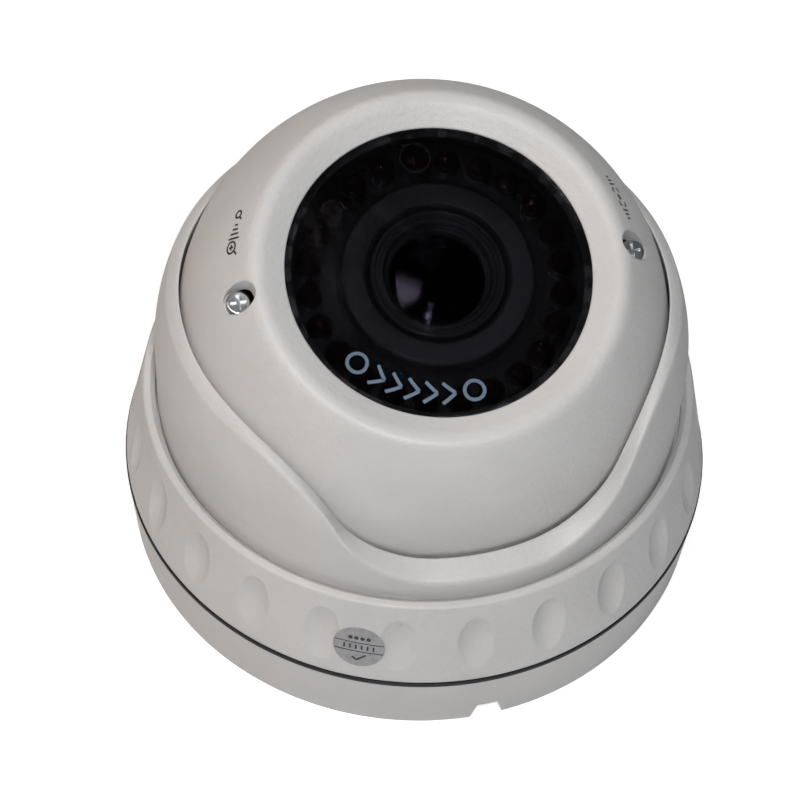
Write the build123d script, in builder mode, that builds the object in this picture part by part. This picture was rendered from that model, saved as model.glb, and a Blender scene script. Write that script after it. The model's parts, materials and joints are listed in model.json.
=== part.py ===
"""A varifocal dome camera: a ball with the lens and lamps, held in a collar by a threaded ring.

The origin is the centre of the base's flat mounting face. +Z points away from the ceiling or
wall, and the collar's dip, where the ball has its free view, faces -Y. Lengths are millimetres
and angles are degrees.
"""

from build123d import *
from math import atan2, cos, degrees, radians, sin, sqrt, tan
import os

# ---------------------------------------------------------------- driving dimensions

ring_radius = 60.0           # widest part of the camera, where the ring meets the base
base_height = 15.0           # flat mounting face to the top of the base's outer wall
seam_gap = 1.0               # gap between base and ring, filled by the ring's seal
ring_height = 20.6           # locking ring, from the seam to its rounded top
ball_radius = 48.6
ball_height = 53.2           # ball's centre above the mounting face
ball_tilt = 19.0             # lens axis off the vertical, in the pose the model is drawn in
ball_pan = -3.0              # the ball's aim beside the collar's dip
window_radius = 29.1         # clear opening of the front window
dimple_count = 24

# Play and gaps between pieces
running = 0.05               # radial play of a shaft or slide in its hole
light_gap = 0.1              # gap between pieces that turn on each other's faces
ball_gap = 0.6               # visible gap between ball and collar
seat_gap = 0.12              # ball on its nylon seat

# Base
floor_thickness = 2.6
base_bottom_radius = ring_radius - 1.2
base_edge_chamfer = 0.4
neck_radius = 54.94          # stands for the thread's outer diameter
neck_bore = 51.4
neck_top = 30.5
core_inner_radius = 53.6     # groove that lightens the wall from below
core_outer_radius = 57.2
core_top = 11.5
cable_hole_radius = 17.0
fixing_circle_radius = 42.0
fixing_hole_radius = 2.4
fixing_count = 3
rear_angle = 90              # the rear, +Y, as an angle round Z from +X; one fixing hole is there
pad_radius = 5.5
pad_height = 2.0
notch_bottom_width = 7.1
notch_top_width = 4.2
notch_height = 5.0
channel_start = 38.0         # the notch runs inwards through the floor to this radius
seal_radius = ring_radius    # ring's seal, flush with the base's edge
seal_rounding = 0.35

# Locking ring
ring_bottom = base_height + seam_gap
ring_top = ring_bottom + ring_height
ring_bottom_radius = ring_radius - 0.1
ring_top_radius = 56.0
ring_edge_height = 1.2       # height of the rounded top edge
ring_bore = 55.0
lip_radius = 53.3
lip_top_radius = 54.3
lip_underside = ring_top - 2.2
lip_slope_height = 1.0       # the lip's inner edge slopes down beside the collar
dimple_width = 7.5
dimple_length = 14.6
dimple_depth = 1.0
dimple_phase = -3.2          # from the front to the nearest dimple
dimple_height = ring_bottom + ring_height / 2 - 0.2
label_radius = 5.2
label_thickness = 0.1
label_glue = 0.02
label_spacing = 1.5          # label's place, in dimple pitches to the left of the front dimple
label_height = ring_bottom + 8.7

# Collar and seat
collar_radius = 52.9
flange_radius = 54.8
washer_thickness = 0.5
washer_bore = lip_radius + 0.2
collar_bore = 51.5
seat_bottom = 36.6
seat_top = 40.0
seat_headroom = 0.4
collar_shoulder = 50.0       # above this height the outer wall leans inwards
collar_top_radius = 50.4
collar_top = 65.7
collar_edge = 1.4            # height of the rounded outer edge at the top
collar_rim = 0.4             # width of the flat rim beside the ball
collar_back_fall = 2.4       # the rim falls this much from its middle to the back
dip_height = 41.6
dip_half_flat = 9.5
dip_half_width = 47.0

# Ball shells; heights in the ball are measured from its centre, along the lens axis
wall = 3.0
split_height = -14.0         # where the front and rear shells meet
seal_width = 1.6             # rubber ring in the split
seal_depth = 1.2
shoulder_radius = 34.8
shoulder_rounding = 1.6
window_height = 30.7
window_lip = 0.4
glass_radius = 31.3
glass_chamfer = 0.3
glass_seat_radius = glass_radius + 0.2
gasket_thickness = 0.2
glass_thickness = 1.5
film_thickness = 0.1
film_radius = window_radius - 0.4
gasket_bore = window_radius + 0.3
retainer_bore = 27.8
retainer_radius = 32.8
retainer_thickness = 2.0
retainer_circle_radius = 33.5    # its four screws
retainer_ear_radius = 2.0
retainer_screw_depth = 2.6
lug_inner_radius = 34.6
lug_outer_radius = 46.2
lug_bottom = -6.5
lug_thickness = 4.0
lug_angles = (30, 150, 270)
lug_half_angle = 11.0
screw_offset_angle = 5.5     # ball screw and chassis screw either side of a lug's middle
screw_circle_radius = 39.6
recess_radius = 9.0
recess_floor = -40.0
recess_boss = 3.0
recess_boss_radius = 12.5

# Adjusters and their gears
adjuster_radius = 38.0       # from the lens axis to each adjuster's axis
pocket_radius = 2.9
pocket_floor = 25.6
head_radius = 2.4
head_height = 1.6
head_rounding = 0.5
head_slot_length = 3.1
head_slot_width = 0.7
head_slot_depth = 1.0
shaft_radius = 1.5
boss_radius = 4.2
boss_bottom = 20.0
bush_seat_radius = 2.75
bush_seat_depth = 2.5
bush_radius = 2.72
bush_length = 1.1
seal_length = 1.2
gear_module = 0.8
pinion_teeth = 12
gear_teeth = 83
gear_thickness = 2.5
zoom_gear_height = 0.5
focus_gear_height = 7.5
web_circle_radius = 23.0
web_hole_radius = 5.0
web_hole_count = 6
spacer_radius = 15.0
clip_radius = 14.6
clip_thickness = 0.9

# Lens
barrel_radius = 13.0
barrel_bore = 11.0
barrel_front = 28.3
flange_thickness = 2.0
barrel_flange_radius = 17.6
barrel_shoulder_radius = 14.5
barrel_chamfer = 0.6
mouth_bevel = 1.5
front_opening_radius = 9.9
front_cell_bottom = 14.9
front_cell_top = 25.8
front_element_radius = 9.2
front_element_top = 26.3
front_element_edge = 24.3    # where its domed face meets its rim
front_element_seat = 20.9
front_hollow_radius = 6.5
front_hollow_depth = 2.2
front_cell_bore = 8.2
zoom_cell_bottom = 0.0
zoom_cell_top = 8.0
zoom_element_radius = 7.0
zoom_element_bottom = 0.5
zoom_element_top = 7.6
zoom_face_sag = 1.5

# Lamp board and light shield
board_thickness = 1.6
lamp_board_height = 20.7
lamp_board_radius = 33.0
lamp_circle_radius = 24.3
lamp_radius = 2.5
lamp_count = 24              # positions round the board; the top one holds the photocell
shield_radius = 18.4
shield_top = 28.5
shield_bore = barrel_radius + 0.2
shield_rounding = 0.8
lamp_height = 5.2
lamp_dome = 2.0
photocell_radius = 2.6
photocell_height = 4.6
photocell_window_radius = 1.6
photocell_window_depth = 0.6
stand_circle_radius = 30.6
stand_radius = 1.9
stand_screw_depth = 4.0

# Chassis and circuit boards
chassis_radius = 42.0
chassis_thickness = 1.5
chassis_opening_radius = 10.0
pivot_radius = 1.0           # adjuster shafts' reduced lower ends
cable_slot_circle = 31.0
cable_slot_length = 16.0
cable_slot_width = 6.0
lens_screw_circle = 15.6
sensor_board_size = 38.0
sensor_board_top = -14.6
power_board_top = -25.4
post_half_spacing = 16.5
post_radius = 2.4
filter_size = 11.0
filter_window = 8.0
filter_travel = 10.0
filter_thickness = 0.9
filter_depth = 2.4           # filter's middle below the chassis
housing_height = 4.35
housing_wall = 2.5
sensor_size = (10.0, 9.0, 1.7)
sensor_window = (7.0, 5.5, 0.3)
board_rounding = 2.0
power_block = (14.0, 12.0, 3.2)
power_inductor = (6.0, 10.0)
capacitor_radius = 3.2
capacitor_height = 6.5
board_screw = {"shank_radius": 1.15, "head_size": 2.1, "head_length": 1.5}
board_screw_length = 17.5
board_hole = 1.3
post_bore = 1.2
cable_radius = 3.0
cable_chamfer = 0.3
cable_end = -51.0
cable_start = -33.8          # the cable's inner end, inside the gland
gland_hole_radius = 5.0
gland_thread_radius = 4.9
gland_thread_length = 6.4
gland_hex_radius = 7.0
gland_hex_height = 4.5
nut_hex_radius = 7.5
nut_height = 2.5
harness_radius = 1.6
harness_offset = -9.0        # where the harness leaves the power board
harness_end = -33.5

# Screws
small_screw = {"shank_radius": 0.98, "head_size": 1.8, "head_length": 1.2}
large_screw = {"shank_radius": 1.2, "head_size": 2.3, "head_length": 1.8}
small_hole = 1.1             # clearance for a small screw
small_tapped = 1.0
large_hole = 1.35            # clearance for a large screw
large_tapped = 1.25
counterbore_radius = 2.5
ball_screw_seat = -22.0      # under the heads of the screws that join the ball's shells
ball_screw_grip = 2.0        # length held in the front shell's lugs
screw_post_radius = 3.2
screw_post_bottom = -28.0

# ---------------------------------------------------------------- places and planes

gasket_top = window_height - window_lip
glass_top = gasket_top - gasket_thickness
glass_bottom = glass_top - glass_thickness
lean = Vector(sin(radians(ball_pan)), -cos(radians(ball_pan)), 0)
lens_direction = lean * sin(radians(ball_tilt)) + Vector(0, 0, 1) * cos(radians(ball_tilt))
side_direction = Vector(cos(radians(ball_pan)), sin(radians(ball_pan)), 0)
ball = Plane(origin=(0, 0, ball_height), x_dir=side_direction, z_dir=lens_direction)
ball_section = Plane(origin=ball.origin, x_dir=ball.x_dir, z_dir=-ball.y_dir)
ball_axis = Axis(ball.origin, ball.z_dir)
front_angle = -90            # the front, -Y, as an angle round Z from +X


def height_on_sphere(radius, at_radius):
    """Height above a sphere's centre of its surface, at a distance from the axis."""
    return sqrt(radius**2 - at_radius**2)


def outline(plane, *points):
    """A closed straight-sided face on a plane."""
    with BuildSketch(plane) as face:
        with BuildLine():
            Polyline(*points, close=True)
        make_face()
    return face.sketch


def lens_face(edge_radius, pole_height, edge_height):
    """A spherical lens face's section, from the lens axis out to its edge."""
    sag = abs(pole_height - edge_height)
    curve = (edge_radius**2 + sag**2) / (2 * sag)
    half_out = edge_radius / 2
    half_sag = curve - sqrt(curve**2 - half_out**2)
    half_height = pole_height + half_sag * (1 if edge_height > pole_height else -1)
    return (0, pole_height), (half_out, half_height), (edge_radius, edge_height)


def band(plane, inner, outer, low, high):
    """The section of a flat ring, as a rectangle of radius and height."""
    return outline(plane, (inner, low), (outer, low), (outer, high), (inner, high))


def ring_on_ball(inner, outer, low, high):
    """A flat ring about the lens axis."""
    with BuildPart() as ring:
        revolve(band(ball_section, inner, outer, low, high), axis=ball_axis)
    return ring.part


def posts(plane, radius, length, spots):
    """Round posts standing on a plane at the given spots."""
    with BuildPart() as group:
        with BuildSketch(plane):
            with Locations(*spots):
                Circle(radius)
        extrude(amount=length)
    return group.part


def polar_spots(radius, angles):
    return [(radius * cos(radians(a)), radius * sin(radians(a))) for a in angles]


def screws(plane, spots, shank_length, shank_radius, head_size, head_length):
    """Pan-head screws whose heads stand on a plane and whose shanks run below it."""
    with BuildPart() as group:
        with BuildSketch(plane):
            with Locations(*spots):
                Circle(head_size)
        extrude(amount=head_length)
        with BuildSketch(plane):
            with Locations(*spots):
                Circle(shank_radius)
        extrude(amount=-shank_length)
        with BuildSketch(plane.offset(head_length)):
            with Locations(*spots):
                Rectangle(head_size * 1.2, head_size * 0.25)
                Rectangle(head_size * 0.25, head_size * 1.2)
        extrude(amount=-head_length * 0.6, mode=Mode.SUBTRACT)
    return group.part


def gear(plane, teeth, bore, turn=0.0):
    """A spur gear with straight-sided teeth and generous backlash."""
    pitch_radius = teeth * gear_module / 2
    root_radius = pitch_radius - 1.1 * gear_module
    tip_height = 1.85 * gear_module
    with BuildPart() as wheel:
        with BuildSketch(plane):
            Circle(root_radius)
            with PolarLocations(root_radius - 0.1, teeth, start_angle=turn):
                Polygon(
                    (0, -0.75 * gear_module), (tip_height, -0.3 * gear_module),
                    (tip_height, 0.3 * gear_module), (0, 0.75 * gear_module), align=None,
                )
            if bore:
                Circle(bore, mode=Mode.SUBTRACT)
        extrude(amount=gear_thickness)
    return wheel.part


def posts_in_ball(radius, low, high, spots):
    """Posts along the lens axis between two heights, trimmed to stay within the ball's skin."""
    with BuildPart() as group:
        add(posts(ball.offset(low), radius, high - low, spots))
        with Locations(Location(ball.origin)):
            Sphere(ball_radius - wall / 2, mode=Mode.INTERSECT)
    return group.part


def ball_plane_down(height):
    """A plane across the lens axis that faces the rear of the ball."""
    return Plane(origin=ball.offset(height).origin, x_dir=ball.x_dir, z_dir=-ball.z_dir)


# ---------------------------------------------------------------- base

with BuildPart() as mount_base:
    revolve(outline(
        Plane.XZ,
        (cable_hole_radius, 0), (core_inner_radius, 0), (core_inner_radius, core_top),
        (core_outer_radius, core_top), (core_outer_radius, 0), (base_bottom_radius, 0),
        (ring_radius, base_height), (neck_radius, base_height), (neck_radius, neck_top),
        (neck_bore, neck_top), (neck_bore, floor_thickness), (cable_hole_radius, floor_thickness),
    ), axis=Axis.Z)
    with BuildSketch(Plane.XY.offset(floor_thickness)):
        with PolarLocations(fixing_circle_radius, fixing_count, start_angle=rear_angle):
            Circle(pad_radius)
    extrude(amount=pad_height)
    with BuildSketch(Plane.XY):
        with PolarLocations(fixing_circle_radius, fixing_count, start_angle=rear_angle):
            Circle(fixing_hole_radius)
    extrude(amount=floor_thickness + pad_height, mode=Mode.SUBTRACT)
    with BuildSketch(Plane.XZ.offset(channel_start)):
        with BuildLine():
            Polyline(
                (-notch_bottom_width / 2, 0), (notch_bottom_width / 2, 0),
                (notch_top_width / 2, notch_height), (-notch_top_width / 2, notch_height),
                close=True,
            )
        make_face()
    extrude(amount=ring_radius - channel_start, mode=Mode.SUBTRACT)
    outer_edges = mount_base.edges().filter_by(GeomType.CIRCLE).sort_by(SortBy.RADIUS)
    chamfer(outer_edges[-1], length=base_edge_chamfer)

with BuildPart() as ring_seal:
    revolve(band(Plane.XZ, neck_radius, seal_radius, base_height, ring_bottom - running),
            axis=Axis.Z)
    seal_edges = ring_seal.edges().filter_by(GeomType.CIRCLE).sort_by(SortBy.RADIUS)
    fillet(seal_edges[-2:], radius=seal_rounding)

# ---------------------------------------------------------------- locking ring

edge_start = ring_top - ring_edge_height
ring_lean = degrees(atan2(ring_bottom_radius - ring_top_radius, edge_start - ring_bottom))


def ring_surface(height):
    """Radius of the locking ring's outside at a height above the mounting face."""
    fall = tan(radians(ring_lean))
    return ring_bottom_radius - (height - ring_bottom) * fall


def on_ring(height, angle):
    """A plane on the locking ring's outside, facing out, with its Y axis up the ring."""
    turn = radians(front_angle + angle)
    out = Vector(cos(turn), sin(turn), 0)
    spot = out * ring_surface(height) + Vector(0, 0, height)
    facing = out * cos(radians(ring_lean)) + Vector(0, 0, sin(radians(ring_lean)))
    return Plane(origin=spot, x_dir=(-sin(turn), cos(turn), 0), z_dir=facing)


dimple_across = (dimple_width / 2) ** 2 / (2 * dimple_depth)     # radius of curvature round the ring
dimple_along = (dimple_length / 2) ** 2 / (2 * dimple_depth)     # radius of curvature up the ring
dimple_plane = on_ring(dimple_height, dimple_phase)
spindle_plane = dimple_plane.offset(dimple_across - dimple_depth)
spindle_half = sqrt(dimple_along**2 - (dimple_along - dimple_across) ** 2)

with BuildPart() as dimple_tool:
    with BuildSketch(spindle_plane):
        with BuildLine():
            ThreePointArc((0, -spindle_half), (dimple_across, 0), (0, spindle_half))
            Line((0, spindle_half), (0, -spindle_half))
        make_face()
    revolve(axis=Axis(spindle_plane.origin, spindle_plane.y_dir))

with BuildPart() as lock_ring:
    with BuildSketch(Plane.XZ):
        with BuildLine():
            side = Line((ring_bottom_radius, ring_bottom), (ring_top_radius, edge_start))
            top_edge = TangentArc(side @ 1, (lip_top_radius, ring_top), tangent=side % 1)
            Polyline(
                top_edge @ 1, (lip_radius, ring_top - lip_slope_height), (lip_radius, lip_underside),
                (ring_bore, lip_underside), (ring_bore, ring_bottom), side @ 0,
            )
        make_face()
    revolve(axis=Axis.Z)
    with PolarLocations(0, dimple_count):
        add(dimple_tool.part, mode=Mode.SUBTRACT)

with BuildPart() as inspection_label:
    label_plane = on_ring(label_height, dimple_phase - label_spacing * 360 / dimple_count)
    low = label_height - label_radius
    high = label_height + label_radius
    low_radius = ring_surface(low) + label_glue
    high_radius = ring_surface(high) + label_glue
    revolve(outline(
        Plane.XZ,
        (low_radius, low), (low_radius + label_thickness, low),
        (high_radius + label_thickness, high), (high_radius, high),
    ), axis=Axis.Z)
    with BuildSketch(label_plane):
        Circle(label_radius)
    extrude(amount=1, both=True, mode=Mode.INTERSECT)

# ---------------------------------------------------------------- collar, washer and seat

flange_bottom = neck_top + light_gap
washer_top = lip_underside - running
flange_top = washer_top - washer_thickness - running

with BuildPart() as slip_washer:
    revolve(band(Plane.XZ, washer_bore, flange_radius, washer_top - washer_thickness, washer_top),
            axis=Axis.Z)

inner_radius = ball_radius + ball_gap
bore_top = seat_top + seat_headroom

clear_height = collar_top + 5

with BuildPart() as collar:
    with BuildSketch(Plane.XZ):
        with BuildLine():
            wall_line = Line((collar_radius, flange_top), (collar_radius, collar_shoulder))
            edge_low = (collar_top_radius, collar_top - collar_edge)
            lean_in = TangentArc(wall_line @ 1, edge_low, tangent=wall_line % 1)
            top_radius = height_on_sphere(inner_radius, collar_top - ball_height)
            rim = TangentArc(lean_in @ 1, (top_radius + collar_rim, collar_top), tangent=lean_in % 1)
            rim_in = Line(rim @ 1, (top_radius, collar_top))
            bore_radius = height_on_sphere(inner_radius, ball_height - bore_top)
            inside = ThreePointArc(rim_in @ 1, (inner_radius, ball_height), (bore_radius, bore_top))
            Polyline(
                inside @ 1, (collar_bore, bore_top), (collar_bore, flange_bottom),
                (flange_radius, flange_bottom), (flange_radius, flange_top), wall_line @ 0,
            )
        make_face()
    revolve(axis=Axis.Z)
    with BuildSketch(Plane.XZ):
        with BuildLine():
            middle = (dip_half_flat + dip_half_width) / 2
            half_way = (middle, (dip_height + collar_top) / 2)
            flat = Line((0, dip_height), (dip_half_flat, dip_height))
            rise = TangentArc(flat @ 1, half_way, tangent=(1, 0))
            crest = TangentArc(rise @ 1, (dip_half_width, collar_top), tangent=rise % 1)
            Polyline(crest @ 1, (ring_radius, collar_top), (ring_radius, clear_height),
                     (0, clear_height), (0, dip_height))
        make_face()
        mirror(about=Plane.YZ)
    extrude(amount=ring_radius, mode=Mode.SUBTRACT)
    above_back = outline(
        Plane.YZ,
        (0, collar_top), (ring_radius, collar_top - collar_back_fall),
        (ring_radius, clear_height), (0, clear_height),
    )
    extrude(above_back, amount=ring_radius, both=True, mode=Mode.SUBTRACT)

with BuildPart() as ball_seat:
    seat_radius = ball_radius + seat_gap
    with BuildSketch(Plane.XZ):
        with BuildLine():
            low_radius = height_on_sphere(seat_radius, ball_height - seat_bottom)
            high_radius = height_on_sphere(seat_radius, ball_height - seat_top)
            mid_height = (seat_bottom + seat_top) / 2
            mid_radius = height_on_sphere(seat_radius, ball_height - mid_height)
            bowl = ThreePointArc((low_radius, seat_bottom), (mid_radius, mid_height),
                                 (high_radius, seat_top))
            Polyline(bowl @ 1, (collar_bore, seat_top), (collar_bore, seat_bottom), bowl @ 0)
        make_face()
    revolve(axis=Axis.Z)

# ---------------------------------------------------------------- ball shells

inner_ball = ball_radius - wall
adjuster_spots = [(adjuster_radius, 0), (-adjuster_radius, 0)]
ball_screw_spots = polar_spots(screw_circle_radius, [a + screw_offset_angle for a in lug_angles])
chassis_screw_spots = polar_spots(screw_circle_radius, [a - screw_offset_angle for a in lug_angles])
retainer_spots = polar_spots(retainer_circle_radius, (45, 135, 225, 315))

with BuildPart() as ball_front:
    with BuildSketch(ball_section):
        with BuildLine():
            shoulder = (shoulder_radius, height_on_sphere(ball_radius, shoulder_radius))
            split_radius = height_on_sphere(ball_radius, split_height)
            outside = ThreePointArc((split_radius, split_height), (ball_radius, 0), shoulder)
            inside_top = height_on_sphere(inner_ball, glass_bottom)
            inner_split = height_on_sphere(inner_ball, split_height)
            Polyline(
                outside @ 1, (window_radius, window_height), (window_radius, gasket_top),
                (glass_seat_radius, gasket_top), (glass_seat_radius, glass_bottom),
                (inside_top, glass_bottom),
            )
            ThreePointArc((inside_top, glass_bottom), (inner_ball, 0), (inner_split, split_height))
            Line((inner_split, split_height), outside @ 0)
        make_face()
    revolve(axis=ball_axis)
    fillet(ball_front.edges().filter_by(GeomType.CIRCLE).group_by(
        lambda e: round(abs(e.radius - shoulder_radius), 1))[0], radius=shoulder_rounding)
    for angle in lug_angles:
        with BuildSketch(ball.offset(lug_bottom)):
            with BuildLine():
                start = angle - lug_half_angle
                CenterArc((0, 0), lug_inner_radius, start, 2 * lug_half_angle)
                CenterArc((0, 0), lug_outer_radius, start, 2 * lug_half_angle)
                for edge_angle in (start, start + 2 * lug_half_angle):
                    Line(*polar_spots(lug_inner_radius, [edge_angle]),
                         *polar_spots(lug_outer_radius, [edge_angle]))
            make_face()
        extrude(amount=lug_thickness)
    add(posts_in_ball(boss_radius, boss_bottom, pocket_floor, adjuster_spots))
    with BuildSketch(ball.offset(pocket_floor)):
        with Locations(*adjuster_spots):
            Circle(pocket_radius)
    extrude(amount=ball_radius - pocket_floor, mode=Mode.SUBTRACT)
    with BuildSketch(ball.offset(boss_bottom)):
        with Locations(*adjuster_spots):
            Circle(shaft_radius + running)
    extrude(amount=pocket_floor - boss_bottom, mode=Mode.SUBTRACT)
    with BuildSketch(ball.offset(boss_bottom)):
        with Locations(*adjuster_spots):
            Circle(bush_seat_radius)
    extrude(amount=bush_seat_depth, mode=Mode.SUBTRACT)
    with BuildSketch(ball.offset(lug_bottom)):
        with Locations(*ball_screw_spots, *chassis_screw_spots):
            Circle(large_tapped)
    extrude(amount=lug_thickness, mode=Mode.SUBTRACT)
    with BuildSketch(ball.offset(glass_bottom)):
        with Locations(*retainer_spots):
            Circle(small_tapped)
    extrude(amount=retainer_screw_depth, mode=Mode.SUBTRACT)

seal_middle = (split_radius + inner_split) / 2
arc_middle = 0.8             # share of the radius down to a point in the middle of the rear arcs

with BuildPart() as ball_rear:
    with BuildSketch(ball_section):
        with BuildLine():
            recess_edge = -height_on_sphere(ball_radius, recess_radius)
            mid = -ball_radius * arc_middle
            mid_out = (height_on_sphere(ball_radius, mid), mid)
            outside = ThreePointArc((recess_radius, recess_edge), mid_out, (split_radius, split_height))
            boss_top = recess_floor + recess_boss
            boss_meets = -height_on_sphere(inner_ball, recess_boss_radius)
            inner_mid = -inner_ball * arc_middle
            inner_out = (height_on_sphere(inner_ball, inner_mid), inner_mid)
            Line(outside @ 1, (inner_split, split_height))
            inner_arc = ThreePointArc((inner_split, split_height), inner_out,
                                      (recess_boss_radius, boss_meets))
            Polyline(
                inner_arc @ 1, (recess_boss_radius, boss_top), (gland_hole_radius, boss_top),
                (gland_hole_radius, recess_floor), (recess_radius, recess_floor), outside @ 0,
            )
        make_face()
    revolve(axis=ball_axis)
    revolve(band(ball_section, seal_middle - seal_width / 2, seal_middle + seal_width / 2,
                 split_height - seal_depth, split_height), axis=ball_axis, mode=Mode.SUBTRACT)
    post_top = lug_bottom - chassis_thickness - running
    add(posts_in_ball(screw_post_radius, screw_post_bottom, post_top, ball_screw_spots))
    with BuildSketch(ball.offset(-ball_radius)):
        with Locations(*ball_screw_spots):
            Circle(large_hole)
    extrude(amount=ball_radius, mode=Mode.SUBTRACT)
    with BuildSketch(ball.offset(-ball_radius)):
        with Locations(*ball_screw_spots):
            Circle(counterbore_radius)
    extrude(amount=ball_radius + ball_screw_seat, mode=Mode.SUBTRACT)

with BuildPart() as ball_seal:
    half_width = seal_width / 2 - running
    revolve(band(ball_section, seal_middle - half_width, seal_middle + half_width,
                 split_height - seal_depth + running, split_height - 0.02), axis=ball_axis)

with BuildPart() as ball_screws:
    spots = [(x, -y) for x, y in ball_screw_spots]
    screw_length = lug_bottom + ball_screw_grip - ball_screw_seat
    add(screws(ball_plane_down(ball_screw_seat), spots, screw_length, **large_screw))

# ---------------------------------------------------------------- window

with BuildPart() as front_glass:
    add(ring_on_ball(0, glass_radius, glass_bottom, glass_top))
    chamfer(front_glass.edges().filter_by(GeomType.CIRCLE), length=glass_chamfer)

with BuildPart() as glass_gasket:
    add(ring_on_ball(gasket_bore, glass_radius, glass_top, gasket_top))

with BuildPart() as protective_film:
    add(ring_on_ball(0, film_radius, glass_top, glass_top + film_thickness))

with BuildPart() as glass_retainer:
    with BuildSketch(ball.offset(glass_bottom)):
        Circle(retainer_radius)
        with Locations(*retainer_spots):
            Circle(retainer_ear_radius)
        Circle(retainer_bore, mode=Mode.SUBTRACT)
        with Locations(*retainer_spots):
            Circle(small_hole, mode=Mode.SUBTRACT)
    extrude(amount=-retainer_thickness)

with BuildPart() as retainer_screws:
    spots = [(x, -y) for x, y in retainer_spots]
    add(screws(ball_plane_down(glass_bottom - retainer_thickness), spots,
               retainer_thickness + retainer_screw_depth - 0.5, **small_screw))

with BuildPart() as light_shield:
    shield_bottom = lamp_board_height + board_thickness
    add(ring_on_ball(shield_bore, shield_radius, shield_bottom, shield_top))
    shield_edges = light_shield.edges().filter_by(GeomType.CIRCLE).sort_by(Axis(ball.origin, ball.z_dir))
    fillet(shield_edges[-2:], radius=shield_rounding)

# ---------------------------------------------------------------- lamp board

lamp_angles = [90 + i * 360 / lamp_count for i in range(1, lamp_count)]
lamp_board_top = lamp_board_height + board_thickness
stand_spots = polar_spots(stand_circle_radius, (0, 90, 180, 270))

with BuildPart() as lamp_board:
    with BuildSketch(ball.offset(lamp_board_height)):
        Circle(lamp_board_radius)
        Circle(barrel_radius + 0.5, mode=Mode.SUBTRACT)
        with Locations(*stand_spots):
            Circle(small_hole, mode=Mode.SUBTRACT)
    extrude(amount=board_thickness)

with BuildPart() as infrared_lamps:
    with BuildSketch(ball.offset(lamp_board_top)):
        with Locations(*polar_spots(lamp_circle_radius, lamp_angles)):
            Circle(lamp_radius)
    extrude(amount=lamp_height)
    lamp_tops = infrared_lamps.edges().filter_by(GeomType.CIRCLE).group_by(ball_axis)[-1]
    fillet(lamp_tops, radius=lamp_dome)

with BuildPart() as photocell:
    photocell_spot = (0, lamp_circle_radius)
    add(posts(ball.offset(lamp_board_top), photocell_radius, photocell_height, [photocell_spot]))
    with BuildSketch(ball.offset(lamp_board_top + photocell_height)):
        with Locations(photocell_spot):
            Circle(photocell_window_radius)
    extrude(amount=-photocell_window_depth, mode=Mode.SUBTRACT)

with BuildPart() as lamp_board_stands:
    stand_height = glass_bottom - retainer_thickness - lamp_board_top
    add(posts(ball.offset(lamp_board_top), stand_radius, stand_height, stand_spots))
    with BuildSketch(ball.offset(lamp_board_top)):
        with Locations(*stand_spots):
            Circle(small_tapped)
    extrude(amount=stand_screw_depth, mode=Mode.SUBTRACT)

with BuildPart() as lamp_board_screws:
    spots = [(x, -y) for x, y in stand_spots]
    length = board_thickness + stand_screw_depth - 1
    add(screws(ball_plane_down(lamp_board_height), spots, length, **small_screw))

# ---------------------------------------------------------------- chassis

chassis_back = lug_bottom - chassis_thickness
post_spots = [(x * post_half_spacing, y * post_half_spacing) for x in (-1, 1) for y in (-1, 1)]
lens_screw_spots = polar_spots(lens_screw_circle, (60, 120, 240, 300))

with BuildPart() as chassis:
    with BuildSketch(ball.offset(chassis_back)):
        Circle(chassis_radius)
        Circle(chassis_opening_radius, mode=Mode.SUBTRACT)
        with Locations(*ball_screw_spots, *chassis_screw_spots):
            Circle(large_hole, mode=Mode.SUBTRACT)
        with Locations(*adjuster_spots):
            Circle(pivot_radius + running, mode=Mode.SUBTRACT)
        with Locations(*lens_screw_spots, *post_spots):
            Circle(small_hole, mode=Mode.SUBTRACT)
        with PolarLocations(cable_slot_circle, 3, start_angle=rear_angle):
            SlotOverall(cable_slot_length, cable_slot_width, rotation=90, mode=Mode.SUBTRACT)
    extrude(amount=chassis_thickness)

with BuildPart() as chassis_screws:
    spots = [(x, -y) for x, y in chassis_screw_spots]
    add(screws(ball_plane_down(chassis_back), spots, 4.5, **large_screw))

with BuildPart() as lens_screws:
    spots = [(x, -y) for x, y in lens_screw_spots]
    add(screws(ball_plane_down(chassis_back), spots, 3.2, **small_screw))

# ---------------------------------------------------------------- lens

barrel_bottom = lug_bottom
flange_face = barrel_bottom + flange_thickness
gear_seat = zoom_gear_height - light_gap

with BuildPart() as lens_barrel:
    revolve(outline(
        ball_section,
        (barrel_bore, barrel_bottom), (barrel_flange_radius, barrel_bottom),
        (barrel_flange_radius, flange_face), (barrel_shoulder_radius, flange_face),
        (barrel_shoulder_radius, gear_seat), (barrel_radius, gear_seat),
        (barrel_radius, barrel_front - barrel_chamfer), (barrel_radius - barrel_chamfer, barrel_front),
        (front_opening_radius + mouth_bevel, barrel_front),
        (front_opening_radius, barrel_front - mouth_bevel), (barrel_bore, barrel_front - mouth_bevel),
    ), axis=ball_axis)
    with BuildSketch(ball.offset(barrel_bottom)):
        with Locations(*lens_screw_spots):
            Circle(small_tapped)
    extrude(amount=flange_thickness, mode=Mode.SUBTRACT)


def lens_ring(height):
    """A toothed ring that turns on the lens barrel, with holes to lighten it."""
    with BuildPart() as ring:
        add(gear(ball.offset(height), gear_teeth, barrel_radius + running))
        with BuildSketch(ball.offset(height)):
            with PolarLocations(web_circle_radius, web_hole_count):
                Circle(web_hole_radius)
        extrude(amount=gear_thickness, mode=Mode.SUBTRACT)
    return ring.part


with BuildPart() as zoom_ring:
    add(lens_ring(zoom_gear_height))

with BuildPart() as focus_ring:
    add(lens_ring(focus_gear_height))

with BuildPart() as gear_spacer:
    spacer_bottom = zoom_gear_height + gear_thickness + light_gap
    add(ring_on_ball(barrel_radius, spacer_radius, spacer_bottom, focus_gear_height - light_gap))

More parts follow.
